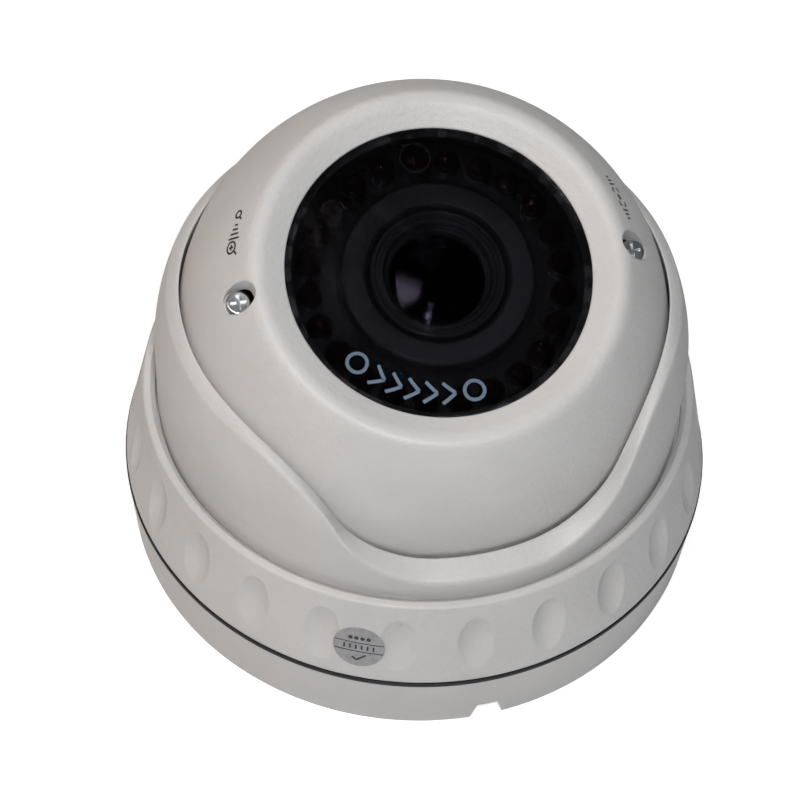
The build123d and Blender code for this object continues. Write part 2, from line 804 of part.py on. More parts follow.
with BuildPart() as gear_clip:
    clip_bottom = focus_gear_height + gear_thickness + light_gap
    add(ring_on_ball(barrel_radius, clip_radius, clip_bottom, clip_bottom + clip_thickness))

cell_radius = barrel_bore - running
with BuildPart() as focus_cell:
    revolve(outline(
        ball_section,
        (front_cell_bore, front_cell_bottom), (cell_radius, front_cell_bottom),
        (cell_radius, front_cell_top), (front_element_radius, front_cell_top),
        (front_element_radius, front_element_seat), (front_cell_bore, front_element_seat),
    ), axis=ball_axis)

with BuildPart() as front_element:
    with BuildSketch(ball_section):
        with BuildLine():
            hollow_top = front_element_seat + front_hollow_depth
            ThreePointArc(*lens_face(front_element_radius, front_element_top, front_element_edge))
            Polyline(
                (front_element_radius, front_element_edge), (front_element_radius, front_element_seat),
                (front_hollow_radius, front_element_seat),
            )
            ThreePointArc(*lens_face(front_hollow_radius, hollow_top, front_element_seat))
            Line((0, hollow_top), (0, front_element_top))
        make_face()
    revolve(axis=ball_axis)

with BuildPart() as zoom_cell:
    add(ring_on_ball(zoom_element_radius, cell_radius, zoom_cell_bottom, zoom_cell_top))

with BuildPart() as zoom_element:
    with BuildSketch(ball_section):
        with BuildLine():
            high_edge = zoom_element_top - zoom_face_sag
            low_edge = zoom_element_bottom + zoom_face_sag
            ThreePointArc(*lens_face(zoom_element_radius, zoom_element_top, high_edge))
            Line((zoom_element_radius, high_edge), (zoom_element_radius, low_edge))
            ThreePointArc(*lens_face(zoom_element_radius, zoom_element_bottom, low_edge))
            Line((0, zoom_element_bottom), (0, zoom_element_top))
        make_face()
    revolve(axis=ball_axis)

# ---------------------------------------------------------------- adjusters


def adjuster(spot, gear_height, turn):
    """A screw-headed shaft with a pinion, standing parallel to the lens."""
    plane = Plane(origin=ball.from_local_coords(Vector(*spot, 0)), x_dir=ball.x_dir, z_dir=ball.z_dir)
    with BuildPart() as shaft:
        add(posts(plane.offset(lug_bottom + light_gap), shaft_radius,
                  pocket_floor + light_gap - lug_bottom, [(0, 0)]))
        add(posts(plane.offset(chassis_back), pivot_radius, 3.0, [(0, 0)]))
        head_bottom = pocket_floor + light_gap
        add(posts(plane.offset(head_bottom), head_radius, head_height, [(0, 0)]))
        fillet(shaft.edges().filter_by(GeomType.CIRCLE).sort_by(ball_axis)[-1], radius=head_rounding)
        with BuildSketch(plane.offset(head_bottom + head_height)):
            Rectangle(head_slot_length, head_slot_width)
            Rectangle(head_slot_width, head_slot_length)
        extrude(amount=-head_slot_depth, mode=Mode.SUBTRACT)
        add(gear(plane.offset(gear_height), pinion_teeth, 0, turn))
    return shaft.part


with BuildPart() as focus_adjuster:
    add(adjuster(adjuster_spots[0], focus_gear_height, 180 / pinion_teeth))

with BuildPart() as zoom_adjuster:
    add(adjuster(adjuster_spots[1], zoom_gear_height, 0))

with BuildPart() as adjuster_bushes:
    with BuildSketch(ball.offset(boss_bottom)):
        with Locations(*adjuster_spots):
            Circle(bush_radius)
            Circle(shaft_radius + running, mode=Mode.SUBTRACT)
    extrude(amount=bush_length)

with BuildPart() as adjuster_seals:
    with BuildSketch(ball.offset(boss_bottom + bush_length + running)):
        with Locations(*adjuster_spots):
            Circle(bush_radius)
            Circle(shaft_radius + running, mode=Mode.SUBTRACT)
    extrude(amount=seal_length)

# ---------------------------------------------------------------- night filter and sensor

filter_middle = chassis_back - filter_depth
housing_middle = filter_travel / 2

with BuildPart() as filter_housing:
    with BuildSketch(ball.offset(chassis_back - running)):
        with Locations((housing_middle, 0)):
            Rectangle(filter_size + filter_travel + 2 * housing_wall, filter_size + 2 * housing_wall)
        Rectangle(filter_window, filter_window, mode=Mode.SUBTRACT)
    extrude(amount=-housing_height)
    with BuildSketch(ball.offset(filter_middle)):
        with Locations((housing_middle, 0)):
            Rectangle(filter_size + filter_travel + 2 * light_gap, filter_size + 2 * light_gap)
    extrude(amount=filter_thickness / 2 + light_gap, both=True, mode=Mode.SUBTRACT)

with BuildPart() as night_filter:
    with BuildSketch(ball.offset(filter_middle)):
        RectangleRounded(filter_size, filter_size, 1.0)
    extrude(amount=filter_thickness / 2, both=True)

with BuildPart() as sensor_board:
    with BuildSketch(ball.offset(sensor_board_top)):
        RectangleRounded(sensor_board_size, sensor_board_size, board_rounding)
        with Locations(*post_spots):
            Circle(board_hole, mode=Mode.SUBTRACT)
    extrude(amount=-board_thickness)

with BuildPart() as image_sensor:
    with BuildSketch(ball.offset(sensor_board_top)):
        Rectangle(sensor_size[0], sensor_size[1])
    extrude(amount=sensor_size[2])
    with BuildSketch(ball.offset(sensor_board_top + sensor_size[2])):
        Rectangle(sensor_window[0], sensor_window[1])
    extrude(amount=-sensor_window[2], mode=Mode.SUBTRACT)

with BuildPart() as power_board:
    with BuildSketch(ball.offset(power_board_top)):
        RectangleRounded(sensor_board_size, sensor_board_size, board_rounding)
        with Locations(*post_spots):
            Circle(board_hole, mode=Mode.SUBTRACT)
    extrude(amount=-board_thickness)

with BuildPart() as power_components:
    with BuildSketch(ball.offset(power_board_top)):
        Rectangle(power_block[0], power_block[1])
        with Locations((-13, -6)):
            Rectangle(*power_inductor)
    extrude(amount=power_block[2])
    capacitor_spots = [(12, 8), (12, 0)]
    add(posts(ball.offset(power_board_top), capacitor_radius, capacitor_height, capacitor_spots))

with BuildPart() as board_posts:
    upper = chassis_back - sensor_board_top
    lower = sensor_board_top - board_thickness - power_board_top
    add(posts(ball.offset(sensor_board_top), post_radius, upper, post_spots))
    add(posts(ball.offset(power_board_top), post_radius, lower, post_spots))
    with BuildSketch(ball.offset(power_board_top)):
        with Locations(*post_spots):
            Circle(post_bore)
    extrude(amount=chassis_back - power_board_top, mode=Mode.SUBTRACT)

with BuildPart() as board_screws:
    spots = [(x, -y) for x, y in post_spots]
    board_back = power_board_top - board_thickness
    add(screws(ball_plane_down(board_back), spots, board_screw_length, **board_screw))

# ---------------------------------------------------------------- cable

gland_bottom = recess_floor - gland_hex_height

with BuildPart() as cable_gland:
    with BuildSketch(ball.offset(gland_bottom)):
        RegularPolygon(gland_hex_radius, 6)
    extrude(amount=gland_hex_height)
    with BuildSketch(ball.offset(recess_floor)):
        Circle(gland_thread_radius)
    extrude(amount=gland_thread_length)
    with BuildSketch(ball.offset(gland_bottom)):
        Circle(cable_radius + running)
    extrude(amount=gland_hex_height + gland_thread_length, mode=Mode.SUBTRACT)

with BuildPart() as gland_nut:
    with BuildSketch(ball.offset(boss_top + running)):
        RegularPolygon(nut_hex_radius, 6)
        Circle(gland_thread_radius + running, mode=Mode.SUBTRACT)
    extrude(amount=nut_height)

with BuildPart() as cable_tail:
    with BuildSketch(ball.offset(cable_end)):
        Circle(cable_radius)
    extrude(amount=cable_start - cable_end)
    tail_edges = cable_tail.edges().filter_by(GeomType.CIRCLE).sort_by(ball_axis)
    chamfer(tail_edges[0], length=cable_chamfer)

with BuildPart() as harness:
    start_point = ball.from_local_coords(Vector(harness_offset, 0, board_back - light_gap))
    end_point = ball.from_local_coords(Vector(0, 0, harness_end))
    with BuildLine() as run:
        Spline(start_point, end_point, tangents=(-ball.z_dir, -ball.z_dir))
    with BuildSketch(Plane(origin=start_point, x_dir=ball.x_dir, z_dir=-ball.z_dir)):
        Circle(harness_radius)
    sweep(path=run.wires()[0])

# ---------------------------------------------------------------- written pieces

pieces = {
    "mount_base": mount_base,
    "ring_seal": ring_seal,
    "slip_washer": slip_washer,
    "lock_ring": lock_ring,
    "inspection_label": inspection_label,
    "collar": collar,
    "ball_seat": ball_seat,
    "ball_front": ball_front,
    "ball_rear": ball_rear,
    "ball_seal": ball_seal,
    "ball_screws": ball_screws,
    "front_glass": front_glass,
    "glass_gasket": glass_gasket,
    "protective_film": protective_film,
    "glass_retainer": glass_retainer,
    "retainer_screws": retainer_screws,
    "light_shield": light_shield,
    "lamp_board": lamp_board,
    "infrared_lamps": infrared_lamps,
    "photocell": photocell,
    "lamp_board_stands": lamp_board_stands,
    "lamp_board_screws": lamp_board_screws,
    "chassis": chassis,
    "chassis_screws": chassis_screws,
    "lens_barrel": lens_barrel,
    "lens_screws": lens_screws,
    "zoom_ring": zoom_ring,
    "focus_ring": focus_ring,
    "gear_spacer": gear_spacer,
    "gear_clip": gear_clip,
    "focus_cell": focus_cell,
    "front_element": front_element,
    "zoom_cell": zoom_cell,
    "zoom_element": zoom_element,
    "zoom_adjuster": zoom_adjuster,
    "focus_adjuster": focus_adjuster,
    "adjuster_bushes": adjuster_bushes,
    "adjuster_seals": adjuster_seals,
    "filter_housing": filter_housing,
    "night_filter": night_filter,
    "image_sensor": image_sensor,
    "sensor_board": sensor_board,
    "power_board": power_board,
    "power_components": power_components,
    "board_posts": board_posts,
    "board_screws": board_screws,
    "cable_gland": cable_gland,
    "gland_nut": gland_nut,
    "cable_tail": cable_tail,
    "harness": harness,
}

os.makedirs("parts", exist_ok=True)
for name, piece in pieces.items():
    piece.part.label = name
    export_step(piece.part, f"parts/{name}.step")
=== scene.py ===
"""Looks for the varifocal dome camera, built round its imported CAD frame.

Places and main sizes are read from the frame. The small dimensions that only the looks need, such
as edge roundings and print, are named below in millimetres.
"""

import json
import math
from types import SimpleNamespace

import bmesh
import bpy
from mathutils import Matrix, Vector


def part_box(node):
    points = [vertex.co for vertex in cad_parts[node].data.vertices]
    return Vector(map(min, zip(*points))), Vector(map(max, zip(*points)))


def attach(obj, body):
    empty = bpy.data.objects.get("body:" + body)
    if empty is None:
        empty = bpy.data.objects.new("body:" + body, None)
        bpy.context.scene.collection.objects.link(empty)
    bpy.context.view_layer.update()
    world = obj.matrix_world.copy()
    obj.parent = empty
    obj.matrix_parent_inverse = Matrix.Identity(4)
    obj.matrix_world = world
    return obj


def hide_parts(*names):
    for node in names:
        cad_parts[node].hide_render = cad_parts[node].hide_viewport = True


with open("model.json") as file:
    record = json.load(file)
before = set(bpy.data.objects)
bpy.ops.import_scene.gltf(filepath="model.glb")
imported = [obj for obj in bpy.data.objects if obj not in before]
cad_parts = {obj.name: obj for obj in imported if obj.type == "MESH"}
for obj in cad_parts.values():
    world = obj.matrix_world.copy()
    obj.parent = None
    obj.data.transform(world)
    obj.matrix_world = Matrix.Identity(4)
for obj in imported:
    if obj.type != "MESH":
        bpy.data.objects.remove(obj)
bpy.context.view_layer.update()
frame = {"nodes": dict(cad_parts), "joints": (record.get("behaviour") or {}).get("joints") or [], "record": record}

MM = 0.001
FULL_TURN = 2 * math.pi

# ------------------------------------------------------------------ named sizes, in millimetres

BASE_NECK_RADIUS = 54.94
BASE_NECK_BORE = 51.4
BASE_WALL_TOP = 15.0
BASE_BOTTOM_INSET = 1.2
BASE_FLOOR = 2.6
CORE_INNER, CORE_OUTER, CORE_TOP = 53.6, 57.2, 11.5
NOTCH_BOTTOM, NOTCH_TOP, NOTCH_HEIGHT, NOTCH_START = 7.1, 4.2, 5.0, 38.0
FIXING_CIRCLE, FIXING_HOLE, PAD_RADIUS, PAD_HEIGHT = 42.0, 2.4, 5.5, 2.0
FIRST_FIXING, FIXING_STEP, FIXING_COUNT = 90, 120, 3     # degrees round the base

RING_TOP_RADIUS, RING_TOP_EDGE = 56.0, 1.2
RING_BORE, RING_LIP, RING_LIP_TOP, RING_LIP_THICKNESS = 55.0, 53.3, 54.3, 2.2
DIMPLES, DIMPLE_WIDTH, DIMPLE_LENGTH, DIMPLE_DEPTH = 24, 7.2, 14.0, 1.25
DIMPLE_PHASE = math.radians(-3.2)

COLLAR_WALL, COLLAR_SHOULDER, COLLAR_TOP_RADIUS = 52.9, 50.0, 50.3
COLLAR_BORE, BORE_TOP, FLANGE_TOP = 51.5, 40.3, 33.8
BALL_GAP = 0.6
DIP_HEIGHT, DIP_FLAT, DIP_HALF_WIDTH = 42.3, 9.5, 47.0
LIP_DROP = 1.9
BACK_FALL = 2.4

WALL = 3.0
SHOULDER_RADIUS, WINDOW_RADIUS, WINDOW_HEIGHT, WINDOW_LIP = 34.8, 29.1, 30.7, 0.4
SHOULDER_ROUNDING = 2.6
POCKET_RADIUS, POCKET_FLOOR = 2.9, 25.6

TUBE_RADIUS, TUBE_BORE, TUBE_MOUTH, TUBE_FLANGE = 13.0, 11.0, 10.0, 2.0
CELL_BORE, CELL_MOUTH, CELL_SEAT, CELL_SEAT_DEPTH = 8.2, 9.9, 9.2, 4.9
LENS_SAG = 2.0
LAMP_PLACES, LAMP_FOOT, LAMP_RADIUS, LAMP_DOME = 24, 2.5, 2.3, 2.2
SENSOR_RADIUS, SENSOR_HEIGHT, SENSOR_DOME = 2.5, 5.0, 1.6
SLEEVE_BORE, SLEEVE_RADIUS, SLEEVE_HEIGHT = 2.75, 3.1, 5.2

FILM_PRINT_RADIUS, FILM_PRINT_ANGLE = 24.3, -112
ZOOM_PRINT_ANGLE, ZOOM_PRINT_POLAR = 160, 53.4
FOCUS_PRINT_ANGLE, FOCUS_PRINT_POLAR = 15.5, 52.4
ADJUSTER_PRINT_SCALE = 1.25
PRINT_LIFT = 0.02
PRINT_THICKNESS = 0.04
LABEL_LIFT, LABEL_THICKNESS = 0.04, 0.10

SHARP_ANGLE = 35             # degrees; edges sharper than this stay crisp in the shading

# ------------------------------------------------------------------ places from the frame

joints = {joint["name"]: joint for joint in frame["joints"]}
ball_centre = Vector(joints["tilt"]["pos_m"])
lens_axis = Vector(joints["roll"]["axis"]).normalized()
side_axis = Vector(joints["tilt"]["axis"]).normalized()
up_axis = lens_axis.cross(side_axis)
BASE = Matrix.Identity(4)
BALL = Matrix.Translation(ball_centre) @ Matrix((side_axis, up_axis, lens_axis)).transposed().to_4x4()


def reach(node, place=BASE):
    """Lowest and highest point and least and greatest radius of a CAD node in a frame, in mm."""
    inverse = place.inverted()
    points = [(inverse @ vertex.co) / MM for vertex in frame["nodes"][node].data.vertices]
    heights = [point.z for point in points]
    radii = [math.hypot(point.x, point.y) for point in points]
    return SimpleNamespace(low=min(heights), high=max(heights), inner=min(radii), outer=max(radii))


base_reach = reach("mount_base")
ring_reach = reach("lock_ring")
collar_reach = reach("collar")
ball_reach = reach("ball_front", BALL)
ball_radius = max(
    (vertex.co - ball_centre).length / MM for vertex in frame["nodes"]["ball_front"].data.vertices
)

# ------------------------------------------------------------------ mesh helpers


def rounded(corners, steps=5):
    """A closed outline of (x, y, rounding) corners, with each rounding as an arc of points."""
    points = []
    count = len(corners)
    for i, (x, y, radius) in enumerate(corners):
        here = Vector((x, y))
        before = Vector(corners[i - 1][:2]) - here
        after = Vector(corners[(i + 1) % count][:2]) - here
        if radius <= 0:
            points.append(here)
            continue
        half = before.angle(after) / 2
        reach_back = min(radius / math.tan(half), before.length * 0.48, after.length * 0.48)
        start = here + before.normalized() * reach_back
        end = here + after.normalized() * reach_back
        for k in range(steps + 1):
            t = k / steps
            points.append(start * (1 - t) ** 2 + here * 2 * t * (1 - t) + end * t**2)
    return points


def finished(name, bm, material, body, sharp=SHARP_ANGLE):
    """A piece from a bmesh, smooth-shaded except at sharp edges, riding on a body."""
    bmesh.ops.recalc_face_normals(bm, faces=bm.faces)
    mesh = bpy.data.meshes.new(name)
    bm.to_mesh(mesh)
    bm.free()
    mesh.shade_smooth()
    mesh.set_sharp_from_angle(angle=math.radians(sharp))
    piece = bpy.data.objects.new(name, mesh)
    bpy.context.scene.collection.objects.link(piece)
    mesh.materials.append(material)
    if body:
        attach(piece, body)
    return piece


def lathe(name, place, outline, steps, material, body, sharp=SHARP_ANGLE):
    """A closed turned piece. outline(angle) gives its section at an angle from the front, in mm."""
    bm = bmesh.new()
    rows = []
    for i in range(steps):
        angle = FULL_TURN * i / steps
        row = []
        for point in outline(angle):
            spot = Vector((point[0] * math.sin(angle), -point[0] * math.cos(angle), point[1])) * MM
            row.append(bm.verts.new(place @ spot))
        rows.append(row)
    count = len(rows[0])
    for i in range(steps):
        row, following = rows[i], rows[(i + 1) % steps]
        for j in range(count):
            k = (j + 1) % count
            bm.faces.new((row[j], row[k], following[k], following[j]))
    bmesh.ops.remove_doubles(bm, verts=bm.verts, dist=1e-7)
    bmesh.ops.dissolve_degenerate(bm, edges=bm.edges, dist=1e-7)
    return finished(name, bm, material, body, sharp)


def turned(name, place, corners, material, body, steps=256):
    """A turned piece with the same rounded section all the way round."""
    section = rounded(corners)
    return lathe(name, place, lambda angle: section, steps, material, body)


def prism(name, place, points, low, high):
    """A plain closed prism over an outline, used to cut other pieces."""
    bm = bmesh.new()
    top = [bm.verts.new(place @ (Vector((x, y, high)) * MM)) for x, y in points]
    bottom = [bm.verts.new(place @ (Vector((x, y, low)) * MM)) for x, y in points]
    bm.faces.new(top)
    bm.faces.new(list(reversed(bottom)))
    for i in range(len(points)):
        k = (i + 1) % len(points)
        bm.faces.new((top[i], bottom[i], bottom[k], top[k]))
    bmesh.ops.recalc_face_normals(bm, faces=bm.faces)
    mesh = bpy.data.meshes.new(name)
    bm.to_mesh(mesh)
    bm.free()
    piece = bpy.data.objects.new(name, mesh)
    bpy.context.scene.collection.objects.link(piece)
    return piece


def circle_points(x, y, radius, count=48):
    angles = [FULL_TURN * i / count for i in range(count)]
    return [(x + radius * math.cos(a), y + radius * math.sin(a)) for a in angles]


def boolean(piece, tool, operation="DIFFERENCE"):
    """Cuts a piece with a tool, or joins the tool to it, and deletes the tool."""
    modifier = piece.modifiers.new("boolean", "BOOLEAN")
    modifier.operation = operation
    modifier.solver = "EXACT"
    modifier.object = tool
    bpy.context.view_layer.update()
    evaluated = piece.evaluated_get(bpy.context.evaluated_depsgraph_get())
    result = bpy.data.meshes.new_from_object(evaluated)
    piece.modifiers.remove(modifier)
    piece.data = result
    piece.data.shade_smooth()
    piece.data.set_sharp_from_angle(angle=math.radians(SHARP_ANGLE))
    bpy.data.objects.remove(tool)


# ------------------------------------------------------------------ material helpers


class Nodes:
    """A short way to write one material's node tree."""

    def __init__(self, name):
        self.material = bpy.data.materials.new(name)
        self.material.use_nodes = True
        self.tree = self.material.node_tree
        self.tree.nodes.clear()
        self.output = self.add("ShaderNodeOutputMaterial")
        self.coordinates = self.add("ShaderNodeTexCoord").outputs["Object"]

    def add(self, kind, **settings):
        node = self.tree.nodes.new(kind)
        for key, value in settings.items():
            setattr(node, key, value)
        return node

    def link(self, source, target):
        self.tree.links.new(source, target)

    def noise(self, scale, detail=3.0, roughness=0.5):
        node = self.add("ShaderNodeTexNoise")
        node.inputs["Scale"].default_value = scale
        node.inputs["Detail"].default_value = detail
        node.inputs["Roughness"].default_value = roughness
        self.link(self.coordinates, node.inputs["Vector"])
        return node.outputs["Fac"]

    def ramp(self, value, *stops):
        """Maps a value to colours; each stop is (position, colour)."""
        node = self.add("ShaderNodeValToRGB")
        while len(node.color_ramp.elements) < len(stops):
            node.color_ramp.elements.new(0.5)
        for element, (position, colour) in zip(node.color_ramp.elements, stops):
            element.position = position
            element.color = (*colour, 1.0) if len(colour) == 3 else colour
        self.link(value, node.inputs["Fac"])
        return node.outputs["Color"]

    def scaled(self, value, low, high):
        node = self.add("ShaderNodeMapRange")
        node.inputs["To Min"].default_value = low
        node.inputs["To Max"].default_value = high
        self.link(value, node.inputs["Value"])
        return node.outputs["Result"]

    def bump(self, height, strength, distance, normal=None):
        node = self.add("ShaderNodeBump")
        node.inputs["Strength"].default_value = strength
        node.inputs["Distance"].default_value = distance
        self.link(height, node.inputs["Height"])
        if normal:
            self.link(normal, node.inputs["Normal"])
        return node.outputs["Normal"]

    def soft_edges(self, radius):
        node = self.add("ShaderNodeBevel", samples=6)
        node.inputs["Radius"].default_value = radius
        return node.outputs["Normal"]

    def surface(self, **inputs):
        """A Principled surface. A value is a number, a colour or another node's output."""
        shader = self.add("ShaderNodeBsdfPrincipled")
        for key, value in inputs.items():
            socket = shader.inputs[key.replace("_", " ")]
            if isinstance(value, bpy.types.NodeSocket):
                self.link(value, socket)
            else:
                socket.default_value = (*value, 1.0) if isinstance(value, tuple) else value
        self.link(shader.outputs[0], self.output.inputs["Surface"])
        return shader


# ------------------------------------------------------------------ materials


def powder_coat(name, colour, edge_radius=0.0):
    """Warm white baked powder: orange-peel texture, faint mottling, soft sheen."""
    nodes = Nodes(name)
    mottle = nodes.noise(45.0, 4.0, 0.6)
    darker = tuple(c * 0.94 for c in colour)
    shade = nodes.ramp(mottle, (0.35, darker), (0.65, colour))
    grain = nodes.noise(2600.0, 2.0, 0.6)
    peel = nodes.noise(900.0, 2.0, 0.5)
    edges = nodes.soft_edges(edge_radius) if edge_radius else None
    coarse = nodes.bump(peel, 0.55, 0.00025, edges)
    fine = nodes.bump(grain, 0.60, 0.00010, coarse)
    rough = nodes.scaled(grain, 0.40, 0.54)
    nodes.surface(Base_Color=shade, Roughness=rough, Normal=fine, Coat_Weight=0.12,
                  Coat_Roughness=0.32, IOR=1.45)
    return nodes.material


def rubber(name, colour, roughness=0.7, grain=1800.0, strength=0.35):
    nodes = Nodes(name)
    speckle = nodes.noise(grain, 3.0, 0.7)
    cloud = nodes.noise(120.0, 3.0, 0.6)
    shade = nodes.ramp(cloud, (0.3, tuple(c * 0.7 for c in colour)), (0.7, colour))
    nodes.surface(Base_Color=shade, Roughness=nodes.scaled(speckle, roughness - 0.1, roughness + 0.1),
                  Normal=nodes.bump(speckle, strength, 0.0001), Specular_IOR_Level=0.35)
    return nodes.material


def plastic(name, colour, roughness=0.4, grain=1500.0):
    nodes = Nodes(name)
    texture = nodes.noise(grain, 2.0, 0.6)
    cloud = nodes.noise(60.0, 3.0, 0.5)
    shade = nodes.ramp(cloud, (0.3, tuple(c * 0.85 for c in colour)), (0.7, colour))
    nodes.surface(Base_Color=shade, Roughness=nodes.scaled(texture, roughness - 0.08, roughness + 0.08),
                  Normal=nodes.bump(texture, 0.2, 0.00005))
    return nodes.material


def metal(name, colour, roughness=0.3, stretch=(1.0, 1.0, 1.0), scale=900.0):
    """Plated or turned metal; stretch draws the grain out along an axis."""
    nodes = Nodes(name)
    mapping = nodes.add("ShaderNodeMapping")
    mapping.inputs["Scale"].default_value = stretch
    nodes.link(nodes.coordinates, mapping.inputs["Vector"])
    nodes.coordinates = mapping.outputs["Vector"]
    streaks = nodes.noise(scale, 4.0, 0.6)
    cloud = nodes.noise(150.0, 3.0, 0.6)
    shade = nodes.ramp(cloud, (0.3, tuple(c * 0.75 for c in colour)), (0.7, colour))
    nodes.surface(Base_Color=shade, Metallic=1.0,
                  Roughness=nodes.scaled(streaks, roughness - 0.1, roughness + 0.12),
                  Normal=nodes.bump(streaks, 0.25, 0.00004))
    return nodes.material


def tinted_glass(name, tint, smudge=0.02):
    """A clear tinted sheet that bends the view through it and lets light straight in."""
    nodes = Nodes(name)
    smear = nodes.noise(35.0, 4.0, 0.6)
    bent = nodes.add("ShaderNodeBsdfRefraction")
    bent.inputs["Color"].default_value = (*(math.sqrt(c) for c in tint), 1.0)
    bent.inputs["IOR"].default_value = 1.5
    bent.inputs["Roughness"].default_value = 0.0
    mirror = nodes.add("ShaderNodeBsdfGlossy")
    nodes.link(nodes.scaled(smear, 0.0, smudge), mirror.inputs["Roughness"])
    fresnel = nodes.add("ShaderNodeFresnel")
    fresnel.inputs["IOR"].default_value = 1.4
    seen = nodes.add("ShaderNodeMixShader")
    nodes.link(fresnel.outputs["Fac"], seen.inputs["Fac"])
    nodes.link(bent.outputs[0], seen.inputs[1])
    nodes.link(mirror.outputs[0], seen.inputs[2])
    straight = nodes.add("ShaderNodeBsdfTransparent")
    straight.inputs["Color"].default_value = (*(math.sqrt(c) for c in tint), 1.0)
    rays = nodes.add("ShaderNodeLightPath")
    either = nodes.add("ShaderNodeMath", operation="MAXIMUM")
    nodes.link(rays.outputs["Is Shadow Ray"], either.inputs[0])
    nodes.link(rays.outputs["Is Diffuse Ray"], either.inputs[1])
    mix = nodes.add("ShaderNodeMixShader")
    nodes.link(either.outputs[0], mix.inputs["Fac"])
    nodes.link(seen.outputs[0], mix.inputs[1])
    nodes.link(straight.outputs[0], mix.inputs[2])
    nodes.link(mix.outputs[0], nodes.output.inputs["Surface"])
    return nodes.material


def coated_lens(name, core, sheen):
    """A polished lens face over a dark barrel, with a painted coloured reflection towards its edge: the base
    colour turns from core to the sheen colour where the face turns away from the view.
    """
    nodes = Nodes(name)
    facing = nodes.add("ShaderNodeLayerWeight")
    facing.inputs["Blend"].default_value = 0.35
    # Painted reflection: the colour shifts to the sheen colour at grazing angles, standing in for the coating's
    # coloured reflection.
    shade = nodes.ramp(facing.outputs["Facing"], (0.0, core), (0.75, core), (1.0, sheen))
    smear = nodes.noise(200.0, 3.0, 0.5)
    nodes.surface(Base_Color=shade, Roughness=nodes.scaled(smear, 0.02, 0.06), IOR=1.6,
                  Specular_Tint=(0.85, 0.7, 1.0), Coat_Weight=0.5, Coat_Roughness=0.02)
    return nodes.material


def printed(name, colour, roughness=0.5):
    """Screen-printed ink: slightly uneven cover and a faint texture."""
    nodes = Nodes(name)
    cover = nodes.noise(1400.0, 3.0, 0.7)
    shade = nodes.ramp(cover, (0.25, tuple(c * 0.75 for c in colour)), (0.6, colour))
    nodes.surface(Base_Color=shade, Roughness=roughness, Normal=nodes.bump(cover, 0.2, 0.00003))
    return nodes.material


def circuit_board(name, mask, copper):
    """Solder mask with faint tracks under it."""
    nodes = Nodes(name)
    tracks = nodes.add("ShaderNodeTexBrick")
    tracks.inputs["Scale"].default_value = 260.0
    tracks.inputs["Mortar Size"].default_value = 0.03
    nodes.link(nodes.coordinates, tracks.inputs["Vector"])
    shade = nodes.ramp(tracks.outputs["Fac"], (0.0, mask), (1.0, copper))
    relief = nodes.bump(tracks.outputs["Fac"], 0.3, 0.00005)
    nodes.surface(Base_Color=shade, Roughness=0.35, Normal=relief)
    return nodes.material


def foil(name):
    """Silver-grey printed foil with a fine brushed look."""
    nodes = Nodes(name)
    streaks = nodes.noise(900.0, 4.0, 0.7)
    shade = nodes.ramp(streaks, (0.3, (0.30, 0.30, 0.31)), (0.7, (0.42, 0.42, 0.43)))
    nodes.surface(Base_Color=shade, Metallic=0.35, Roughness=0.42,
                  Normal=nodes.bump(streaks, 0.15, 0.00003))
    return nodes.material


coat = powder_coat("powder_coat", (0.63, 0.62, 0.612))
coat_cut = powder_coat("powder_coat_cut_edges", (0.63, 0.62, 0.612), 0.0005)
black_rubber = rubber("black_rubber", (0.012, 0.012, 0.016), 0.5)
shield_rubber = rubber("shield_rubber", (0.034, 0.034, 0.038), 0.6, 2600.0, 0.6)
lens_black = plastic("lens_black", (0.060, 0.060, 0.068), 0.20, 2200.0)
black_plastic = plastic("black_plastic", (0.012, 0.012, 0.013), 0.5)
nylon = plastic("nylon", (0.55, 0.53, 0.48), 0.45)
window_glass = tinted_glass("window_glass", (0.36, 0.36, 0.38))
film_clear = tinted_glass("film_clear", (0.93, 0.94, 0.95), 0.05)
# The second colour of each coated lens is a painted edge reflection, not the material's own colour.
lens_glass = coated_lens("lens_glass", (0.002, 0.001, 0.003), (0.03, 0.010, 0.06))
lamp_resin = coated_lens("lamp_resin", (0.012, 0.004, 0.005), (0.03, 0.010, 0.012))
zinc = metal("zinc_plate", (0.66, 0.68, 0.70), 0.30)
sheet_steel = metal("sheet_steel", (0.50, 0.51, 0.52), 0.4, (1.0, 12.0, 1.0))
brass = metal("brass", (0.60, 0.45, 0.20), 0.3, (1.0, 1.0, 10.0))
board_green = circuit_board("board_green", (0.008, 0.06, 0.025), (0.03, 0.12, 0.05))
board_black = circuit_board("board_black", (0.004, 0.004, 0.005), (0.012, 0.011, 0.010))
black_ink = printed("black_ink", (0.020, 0.020, 0.022))
film_ink = printed("film_ink", (0.13, 0.19, 0.26), 0.4)
label_foil = foil("label_foil")
label_ink = printed("label_ink", (0.035, 0.035, 0.04))
cable_white = rubber("cable_jacket", (0.55, 0.54, 0.50), 0.45, 900.0, 0.2)
ceramic = plastic("sensor_ceramic", (0.02, 0.02, 0.025), 0.3)
# The second colour here is a painted edge reflection.
filter_blue = coated_lens("filter_blue", (0.05, 0.12, 0.16), (0.10, 0.25, 0.30))

# ------------------------------------------------------------------ base and its seal


